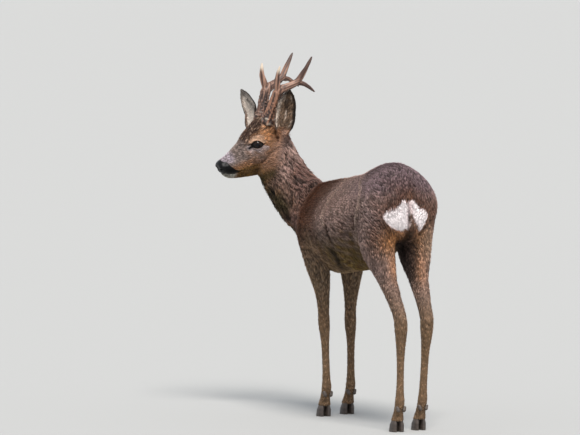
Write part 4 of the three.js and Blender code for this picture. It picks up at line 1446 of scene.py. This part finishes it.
def colour_tufts(mesh, roots, middles, locks, reach):
    many = len(roots)
    colour = markings(*onto_skin(middles))
    bright = step(0.3, 0.75, colour.max(1))
    shade = ROOT_SHADE[0] + (ROOT_SHADE[1] - ROOT_SHADE[0]) * bright[:, None]
    shade = shade + (1 - shade) * step(0, 0.72, reach)[None]
    write_colour(mesh, (colour[:, None] * shade[:, :, None]).reshape(-1, 3))
    depth = 0.95 - 0.25 * head_share(roots) + 0.5 * crown_share(roots) + 0.4 * neck_share(roots)
    depth = depth * (1 - 0.85 * bright)
    specks = 0.5 + 0.5 * waves(body_mm(roots), 1.5, 88, 11)
    luck = np.clip(0.5 * specks + 0.5 * chance.rand(many), 0, 1)
    value = streak_value(locks, chance.rand(many), depth)
    luck = 0.5 + (luck - 0.5) * np.clip(colour.max(1) / 0.2, 0.05, 1) * (1 - 0.6 * bright)
    own = np.repeat(np.column_stack([value, luck]), len(reach), axis=0)
    write_colour(mesh, np.column_stack([own, np.tile(reach, many)]), "hair")


def tuft_mesh(name, weights, count, waists):
    roots, normals, on_map = places(weights, count)
    flow = lie_of_hair(roots, normals)
    size = habit(roots)
    size[:, 0] *= chance.uniform(*LENGTHS, count)
    size[:, 1] *= chance.uniform(*WIDTHS, count)
    locks = streaks(roots)
    plain = 1 - step(-8, 6, patch_edge(body_mm(roots)))
    size[:, 2] *= chance.uniform(*LIFTS, count) * (1 + 0.5 * np.clip(locks, -1.2, 1.6) * plain)
    sway = chance.normal(0, SWAY, count) + 0.22 * neck_share(roots) * waves(body_mm(roots), 8, 86, 7)
    points = tuft_corners(roots, normals, flow, size, sway * size[:, 0], waists)
    faces = (np.arange(count) * points.shape[1])[:, None, None] + tuft_faces(waists)[None]
    faces = faces.reshape(-1, 3)
    mesh = mesh_of(name, points.reshape(-1, 3), faces)
    reach = np.array([0, *np.repeat(STOPS[waists][:-1], 3), 1])
    colour_tufts(mesh, roots, roots + flow * (size[:, :1] * 0.5 * MM), locks, reach)
    length, half = TUFT_ON_MAP
    patch = np.column_stack([(reach - 0.5) * length, [0] + [-half, 0, half] * waists + [0]])
    flat = (on_map[:, None, :] + patch[None]).reshape(-1, 2)
    layer = mesh.uv_layers.new(name="OFBake")
    layer.data.foreach_set("uv", flat[faces.ravel()].astype(np.float32).ravel())
    mesh.validate()
    mesh.shade_smooth()
    return mesh


print("a tuft lies on", TUFT_ON_MAP[0], "of the map")

# %% [markdown]
# The coat's material reads three numbers that each tuft carries: its own shade from the streaks, a
# number of pure chance, and how far along the tuft a point lies. The chance and the place together
# give some tufts a pale tip, which is what makes a wild coat look grizzled.

# %% The coat's material
PALE_TIP = (0.62, 0.5, 0.42, 1)


def coat_material():
    material, tree, shader = paint("coat_hair", (0.3, 0.2, 0.15), 0.58)
    own = add_node(tree, "SeparateColor", {"Color": attribute(tree, "hair")}).outputs
    bright = add_node(tree, "MapRange", {"Value": own["Red"], "To Max": BRIGHTEST})
    shaded = times(tree, attribute(tree, "marking"), bright.outputs["Result"])
    lucky = {"Value": own["Green"], "From Min": 0.5, "From Max": 0.95, "To Max": 0.5}
    lucky = add_node(tree, "MapRange", lucky).outputs["Result"]
    pale = add_node(tree, "Math", {0: lucky, 1: own["Blue"]}, operation="MULTIPLY")
    tipped = {"Factor": pale.outputs["Value"], "A": shaded, "B": PALE_TIP}
    tipped = add_node(tree, "Mix", tipped, data_type="RGBA").outputs["Result"]
    tree.links.new(tipped, shader.inputs["Base Color"])
    shader.inputs["Specular IOR Level"].default_value = 0.1
    shader.inputs["Sheen Weight"].default_value = 0.015
    return material


HAIR = coat_material()
print("made", HAIR.name, "of", len(HAIR.node_tree.nodes), "nodes")

# %% [markdown]
# The skin is shared out over ten pieces, so that none grows too heavy. Each piece gets its number
# of tufts and of waists. The muzzle and the lids stay bald, and the white patch is the thickest.

# %% Share the coat out and lay it
centre_b, centre_h = body_mm(centres), head_mm(centres)
share_ear, y = ear_share(centres), centre_b[:, 1]
on_head = head_share(centres) > 0.5
bald = on_head & (before_black_edge(centre_h) > 0) & (above_mouth(centre_h) > -1)
for side in (LEFT, RIGHT):
    margin = eye_place(centre_h, side)[4]
    bald |= (margin < 1.6) & (np.linalg.norm(centre_h - eye_axes(side)[0], axis=1) < EYE_RADIUS + 5)
face_part = on_head & (share_ear < 0.5)
neck_part = ~on_head & (neck_share(centres) > 0.5)
leg_part = (leg_share(centres) > 0.5) & ~face_part
body_part = ~on_head & ~neck_part & ~leg_part
thickness = 1 + 1.6 * step(-6, 2, patch_edge(centre_b))
REGIONS = {
    "coat_face": (face_part & (centre_h[:, 1] < 98), 25000, 1),
    "coat_skull": (face_part & (centre_h[:, 1] >= 98), 26000, 1),
    "coat_ears": (on_head & (share_ear >= 0.5), 20000, 1),
    "coat_neck_left": (neck_part & (centre_b[:, 0] >= 20), 13500, 2),
    "coat_neck_right": (neck_part & (centre_b[:, 0] < 20), 12500, 2),
    "coat_shoulders": (body_part & (y < -90), 27000, 1),
    "coat_barrel": (body_part & (y >= -90) & (y < 110), 29000, 1),
    "coat_hindquarters": (body_part & (y >= 110), 33000, 1),
    "coat_forelegs": (leg_part & (y < 40), 16000, 1),
    "coat_hindlegs": (leg_part & (y >= 40), 18000, 1),
}
coats = []
for name, (part, count, waists) in REGIONS.items():
    mesh = tuft_mesh(name, areas * part * ~bald * thickness, count, waists)
    mesh.materials.append(HAIR)
    coats.append(add_object(name, mesh))
    print(name, len(mesh.polygons), "triangles over", round(float(areas[part].sum()) * 1e4), "cm2")

# %% [markdown]
# ## The eyes
# A deer's eye is a dark ball with a clear bulge in front, wet all over. It is a sphere turned so that
# its pole looks along the gaze; the bulge is pushed out round the pole. The long pupil lies level,
# and iris and pupil are both nearly black, so what one sees is mostly the sky mirrored in it.

# %% Turn, bulge and colour both eyeballs
PUPIL, IRIS, IRIS_RIM = tint(7, 9, 15), tint(30, 20, 15), tint(11, 9, 8)
BALL_IN, BULGE = 0.15, 1.1  # the ball lies this far inside its solid, and bulges this far out, mm
PUPIL_HALF = (0.4, 0.2)  # half its length and height, as shares of the ball's radius
EYE = marked(
    ("wet_eye", (0.01, 0.008, 0.007), 0.04),
    lambda tree: noise(tree, Scale=700),
    {"To Min": 0.6, "To Max": 1.3},
    Specular_IOR_Level=0.12,
    Coat_Weight=0.16,
    Coat_Roughness=0.02,
)


def finish_mesh(mesh, colour, material):
    write_colour(mesh, colour)
    mesh.materials.clear()
    mesh.materials.append(material)
    mesh.shade_smooth()


def eyeball(name, side):
    ball = bmesh.new()
    bmesh.ops.create_uvsphere(ball, u_segments=64, v_segments=44, radius=1)
    mesh = bpy.data.meshes.new("fine_" + name)
    ball.to_mesh(mesh)
    ball.free()
    centre, gaze, along, up = eye_axes(side)
    local = points_of(mesh)
    from_pole = np.arccos(np.clip(local[:, 2], -1, 1))
    bulge = BULGE * (1 - step(0.1, 0.85, from_pole))
    way = local[:, :1] * along + local[:, 1:2] * up + local[:, 2:] * gaze
    set_points(mesh, from_head(centre + way * (EYE_RADIUS - BALL_IN + bulge)[:, None]))
    if side == RIGHT:
        mesh.flip_normals()
    iris = Glaze(IRIS, len(local))
    iris.lay(IRIS_RIM, step(0.8, 1.0, from_pole / 0.72))
    slit = np.hypot(*(local[:, :2] / PUPIL_HALF).T)
    iris.lay(PUPIL, (1 - step(0.85, 1.1, slit)) * (local[:, 2] > 0))
    finish_mesh(mesh, iris.colour, EYE)
    return add_object("fine_" + name, mesh)


eyes = {f"eye_{name}": eyeball(f"eye_{name}", side) for name, side in SIDES.items()}
print("eyeballs:", [len(e.data.polygons) for e in eyes.values()], "faces each")

# %% [markdown]
# ## The antlers
# Antlers are bone: rough with pearls at the foot, grooved lengthwise where blood vessels ran under
# the velvet, and polished to ivory at the points. The solids of one antler are melted together, so
# that its tines grow out of the beam without a joint. Smoothing shortens thin ends, so each tine is
# drawn out again to the tip of its solid.

# %% Find the parts of an antler and their tips
ANTLER_PARTS = ["beam", "middle", "front_tine", "rear_tine", "top_tine"]
CORONET = np.array([19, 166, 63])  # the rough ring at the foot of the left antler


def part_points(side, part):
    return points_of(nodes[f"antler_{side}_{part}"].data)


def antler_parts(side, points):
    """For each point the nearest part of the antler, its share of every part, and their long axes."""
    far, axes = [], []
    for part in ANTLER_PARTS:
        own = part_points(side, part)
        middle = own.mean(0)
        axis = np.linalg.svd(own - middle, full_matrices=False)[2][0]
        reach = (own - middle) @ axis
        along = np.clip((points - middle) @ axis, reach.min(), reach.max())
        far.append(np.linalg.norm(points - middle - along[:, None] * axis, axis=1) / MM)
        axes.append(axis)
    far = np.array(far).T
    shares = np.exp(-((far - far.min(1, keepdims=True)) / 3.5))
    return far.argmin(1), shares / shares.sum(1, keepdims=True), axes


def drawn_to_tips(side, points):
    """The points with each tine drawn out to its tip, and the tips themselves on the head."""
    which, tips = antler_parts(side, points)[0], []
    foot = from_head(CORONET * [SIDES[side], 1, 1])
    for k in (2, 3, 4):
        own, mine = part_points(side, ANTLER_PARTS[k]), points[which == k]
        true, now = (p[np.argmax(np.linalg.norm(p - foot, axis=1))] for p in (own, mine))
        near = np.linalg.norm(points - now, axis=1) / MM
        along = true - points[(near < 26) & (which == k)].mean(0)
        aim = true + along / np.linalg.norm(along) * 4.5 * MM
        points = points + (aim - now) * (step(52, 0, near) * (which == k))[:, None]
        tips.append(true)
    return points, head_mm(np.array(tips))


longest = max(np.ptp(part_points("left", part)[:, 2]) / MM for part in ANTLER_PARTS)
print("highest part of the left antler:", round(float(longest)), "mm")

# %% [markdown]
# Grooves must run along the bone, so each part lends its own long axis, and the noise is stretched
# along it. Pearls are the bumps of a rounder noise, and the coronet is a thick ring of them. Bark
# and soil stain the hollows dark, and rubbing keeps the ridges pale.

# %% Groove, pearl and colour the bone
BONE_DARK, BONE_RED, BONE_PINK = tint(46, 31, 25), tint(104, 70, 57), tint(166, 128, 108)
BONE_ORANGE, IVORY, POINT_DARK = tint(150, 104, 78), tint(206, 190, 170), tint(58, 40, 34)
BONE_VOXEL, BONE_ROUNDS = 0.95 * MM, 60
GROOVE_DEPTH, PEARL_HEIGHT = 0.75, {"left": 1.43, "right": 2.73}  # mm
BONE = marked(
    ("antler_bone", (0.25, 0.15, 0.11), 0.55),
    lambda tree: noise(tree, Scale=420, Detail=4),
    {"From Min": 0.3, "From Max": 0.7, "To Min": 0.7, "To Max": 1.15},
    bumps=(0.35, 0.0006),
)


def off_nearest(local, tips):
    return np.linalg.norm(local[:, None] - tips[None], axis=2).min(1)


def grooved(side, points, mm):
    _, shares, axes = antler_parts(side, points)
    total = np.zeros(len(mm))
    for part, axis in enumerate(axes):
        squeezed, seed = mm - np.outer(mm @ axis, axis) * 0.93, SIDES[side] + part
        own = waves(squeezed, 2.8, 61 + seed, 7) + 0.6 * waves(squeezed, 1.5, 71 + seed, 7)
        total += shares[:, part] * own
    return total


def bone_colour(side, local, tips, ridge, rough, height):
    darker, high = {"left": 0.16, "right": 0.9}[side], step(20, 80, height)
    bone = Glaze(BONE_RED, len(local))
    bone.lay(BONE_PINK, ridge * (0.35 + 0.5 * high))
    if side == "left":
        bone.lay(BONE_ORANGE, 0.7 * ridge * step(110, 60, height))
    bone.lay(BONE_DARK, (1 - ridge) * (0.75 + 0.25 * rough) * step(0, 30, off_nearest(local, tips)))
    bone.lay(BONE_DARK, np.clip(darker * rough * 1.6, 0, 0.8) * (1 - 0.6 * ridge))
    bone.lay(IVORY, 0.95 * (1 - step(3, 20, off_nearest(local, tips[:1]))))
    bone.lay(POINT_DARK, 0.85 * (1 - step(8, 46, off_nearest(local, tips[1:]))))
    bone.lay(NEARLY_BLACK, 0.5 * np.exp(-(((height - 5) / 6) ** 2)))
    return bone


def antler(side):
    foot = CORONET * [SIDES[side], 1, 1]
    names = [f"antler_{side}_{part}" for part in ANTLER_PARTS]
    thing = add_object(f"antler_{side}", welded(names, 0.3))
    with_modifier(thing, "REMESH", mode="VOXEL", voxel_size=BONE_VOXEL)
    points, edges = points_of(thing.data), edges_of(thing.data)
    points, tips = drawn_to_tips(side, smoothed(points, edges, BONE_ROUNDS, 0.62, -0.612))
    set_points(thing.data, points)
    normals, local = normals_of(thing.data), head_mm(points)
    thicker = 0.6 + step(34, 2, off_nearest(local, tips))
    thicker += 1.3 * step(125, 80, off_nearest(local, foot[None]))
    points = points + normals * (thicker * MM)[:, None]
    local, mm = head_mm(points), (points - points.mean(0)) / MM
    height = off_nearest(local, foot[None])
    rough = 1 - step(30, 104, height)
    grooves = grooved(side, points, mm)
    pearls = rough * np.maximum(waves(mm, 2.6, 63 + SIDES[side], 9) - 0.05, 0) ** 1.2
    ring = np.exp(-(((height - 12) / 7) ** 2)) * (local[:, 2] > 50)
    beads = waves(mm, 4.2, 65, 8)
    push = GROOVE_DEPTH * grooves * step(6, 40, off_nearest(local, tips))
    push += PEARL_HEIGHT[side] * pearls
    push += ring * (2.2 + 3.4 * np.maximum(beads, -0.25))
    set_points(thing.data, points + normals * (push * MM)[:, None])
    bone = bone_colour(side, local, tips, step(-0.55, 0.75, grooves + 1.5 * pearls), rough, height)
    bone.lay(IVORY, 0.6 * ring * step(0.1, 0.8, beads))
    finish_mesh(thing.data, bone.colour, BONE)
    return thing, names


antlers = {side: antler(side) for side in SIDES}
print("antlers:", [len(thing.data.polygons) for thing, _ in antlers.values()], "faces each")

# %% [markdown]
# ## The hooves
# Each foot stands on two horn hooves, with two small dewclaws above and behind. Horn grows down from
# the foot in fine rings, so the melted solids get shallow waves by height. The rim is drawn in under
# the skin's hem, and the sole stays flat on the floor.

# %% Melt the horn of each foot
HORN_DARK, HORN_PALE = tint(58, 50, 46), tint(96, 84, 74)
HORN = marked(
    ("hoof_horn", (0.04, 0.03, 0.03), 0.42),
    lambda tree: noise(tree, Scale=500),
    {"To Min": 0.6, "To Max": 1.3},
)
HORN_VOXEL, HORN_ROUNDS = 1.1 * MM, 12
RIM_IN = 0.2  # how much narrower the rim is drawn
RING_HEIGHT = 0.13  # mm
SOLE = 0.9 * MM  # whatever lies lower than this belongs to the flat sole


def foot(end, side):
    names = [f"{kind}_{end}_{side}_{half}" for kind in ("hoof", "dewclaw") for half in ("inner", "outer")]
    thing = add_object(f"horn_{end}_{side}", welded(names, 0))
    with_modifier(thing, "REMESH", mode="VOXEL", voxel_size=HORN_VOXEL)
    points = smoothed(points_of(thing.data), edges_of(thing.data), HORN_ROUNDS, 0.6, -0.58)
    z = points[:, 2] / MM
    rim = points[(z > 26) & (z < 40)]
    narrower = RIM_IN * step(16, 34, z) * (z < 42)
    points[:, :2] += ((rim.min(0) + rim.max(0)) / 2 - points)[:, :2] * narrower[:, None]
    set_points(thing.data, points)
    rings = 0.6 * np.sin(z * 2.1 + 1.6 * waves(points / MM, 14, 71))
    rings += 0.6 * waves(points / MM * [0.5, 0.5, 1], 3, 72, 7)
    points = points + normals_of(thing.data) * (RING_HEIGHT * rings * step(2, 6, z) * MM)[:, None]
    points[:, 2] = np.where(points[:, 2] < SOLE, 0, points[:, 2])
    set_points(thing.data, points)
    horn = Glaze(HORN_DARK, len(z))
    horn.lay(HORN_PALE, 0.5 * step(-0.2, 1, rings) + 0.3 * step(18, 30, z))
    finish_mesh(thing.data, horn.colour, HORN)
    return thing, names


feet = [foot(end, side) for end in ("front", "hind") for side in SIDES]
print("feet:", [len(thing.data.polygons) for thing, _ in feet], "faces each")

# %% [markdown]
# ## Floor, lights and camera
# A large pale floor, like smooth plaster, and a soft pale sky give plain studio light. One soft sun,
# as wide as a bright cloud and high behind the deer, shapes the body. The camera stands behind and
# to the left of the deer, far away with a long lens, which keeps the proportions true.

# %% Lay the floor and light it
PLASTER = (0.37, 0.37, 0.36)
SKY, SKY_POWER = (0.86, 0.92, 1, 1), 0.78
CLOUD, CLOUD_POWER, CLOUD_WIDTH = (1, 0.96, 0.92), 4.5, math.radians(24)
CLOUD_TOWARDS = Vector((0.12, 0.62, 0.92))

floor_mesh = bpy.data.meshes.new("floor")
floor_mesh.from_pydata([(-90, -90, 0), (90, -90, 0), (90, 90, 0), (-90, 90, 0)], [], [(0, 1, 2, 3)])
floor = add_object("floor", floor_mesh)
material, tree, shader = paint("pale_floor", PLASTER, 0.9)
faint = {"Value": noise(tree, Scale=2.5), "To Min": 0.98, "To Max": 1.02}
faint = add_node(tree, "MapRange", faint).outputs["Result"]
tree.links.new(times(tree, (*PLASTER, 1), faint), shader.inputs["Base Color"])
floor.data.materials.append(material)
floor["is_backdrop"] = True

world = bpy.data.worlds.new("soft_sky")
bpy.context.scene.world = world
world.use_nodes = True
sky = world.node_tree.nodes["Background"]
sky.inputs["Color"].default_value, sky.inputs["Strength"].default_value = SKY, SKY_POWER

cloud = bpy.data.lights.new("bright_cloud", "SUN")
cloud.color, cloud.energy, cloud.angle = CLOUD, CLOUD_POWER, CLOUD_WIDTH
add_object("bright_cloud", cloud).rotation_euler = CLOUD_TOWARDS.to_track_quat("Z", "Y").to_euler()
print("lights: the sky and", cloud.name)

# %% [markdown]
# The camera looks at the middle of the view, from a turn and a rise given in degrees. Its lens
# follows from how wide the view is to be at the deer.

# %% Place the camera
CAMERA_TURN, CAMERA_RISE = math.radians(158), math.radians(4)
VIEW_MIDDLE = Vector(BODY_AT + np.array([153.4, -100.9, 516.9]) * MM)
VIEW_WIDTH = 1.479  # at the deer
CAMERA_AWAY = 21.0
SENSOR = 36  # mm

level = Vector((math.sin(CAMERA_TURN), -math.cos(CAMERA_TURN), 0))
back = level * math.cos(CAMERA_RISE) + Vector((0, 0, math.sin(CAMERA_RISE)))
camera_data = bpy.data.cameras.new("camera")
camera_data.sensor_width = SENSOR
camera_data.lens = SENSOR * CAMERA_AWAY / VIEW_WIDTH
camera_data.clip_start, camera_data.clip_end = 1, 400
camera = add_object("camera", camera_data)
camera.location = VIEW_MIDDLE + back * CAMERA_AWAY
camera.rotation_mode = "QUATERNION"
camera.rotation_quaternion = (-back).to_track_quat("-Z", "Y")
bpy.context.scene.camera = camera
bpy.context.scene.view_settings.view_transform = "Standard"
print("camera height:", round(camera.location.z, 2), "m, lens", round(camera_data.lens), "mm")

# %% [markdown]
# ## Fasten everything to the animal and measure
# The pieces ride on the model's one body. The last lines count the faces of all that is shown.

# %% Fasten, measure and finish
skin.data.shade_smooth()
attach(skin, "root")
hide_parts(*FLESH, "ear_left", "ear_right")
for coat in coats:
    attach(coat, "root")
for name, ball in eyes.items():
    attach(ball, "root")
    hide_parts(name)
for thing, names in antlers.values():
    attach(thing, "root")
    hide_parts(*names)
for thing, names in feet:
    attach(thing, "root")
    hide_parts(*names)

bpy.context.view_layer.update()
shown = sum(len(piece.data.polygons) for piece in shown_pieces())
print("faces shown in all:", shown)
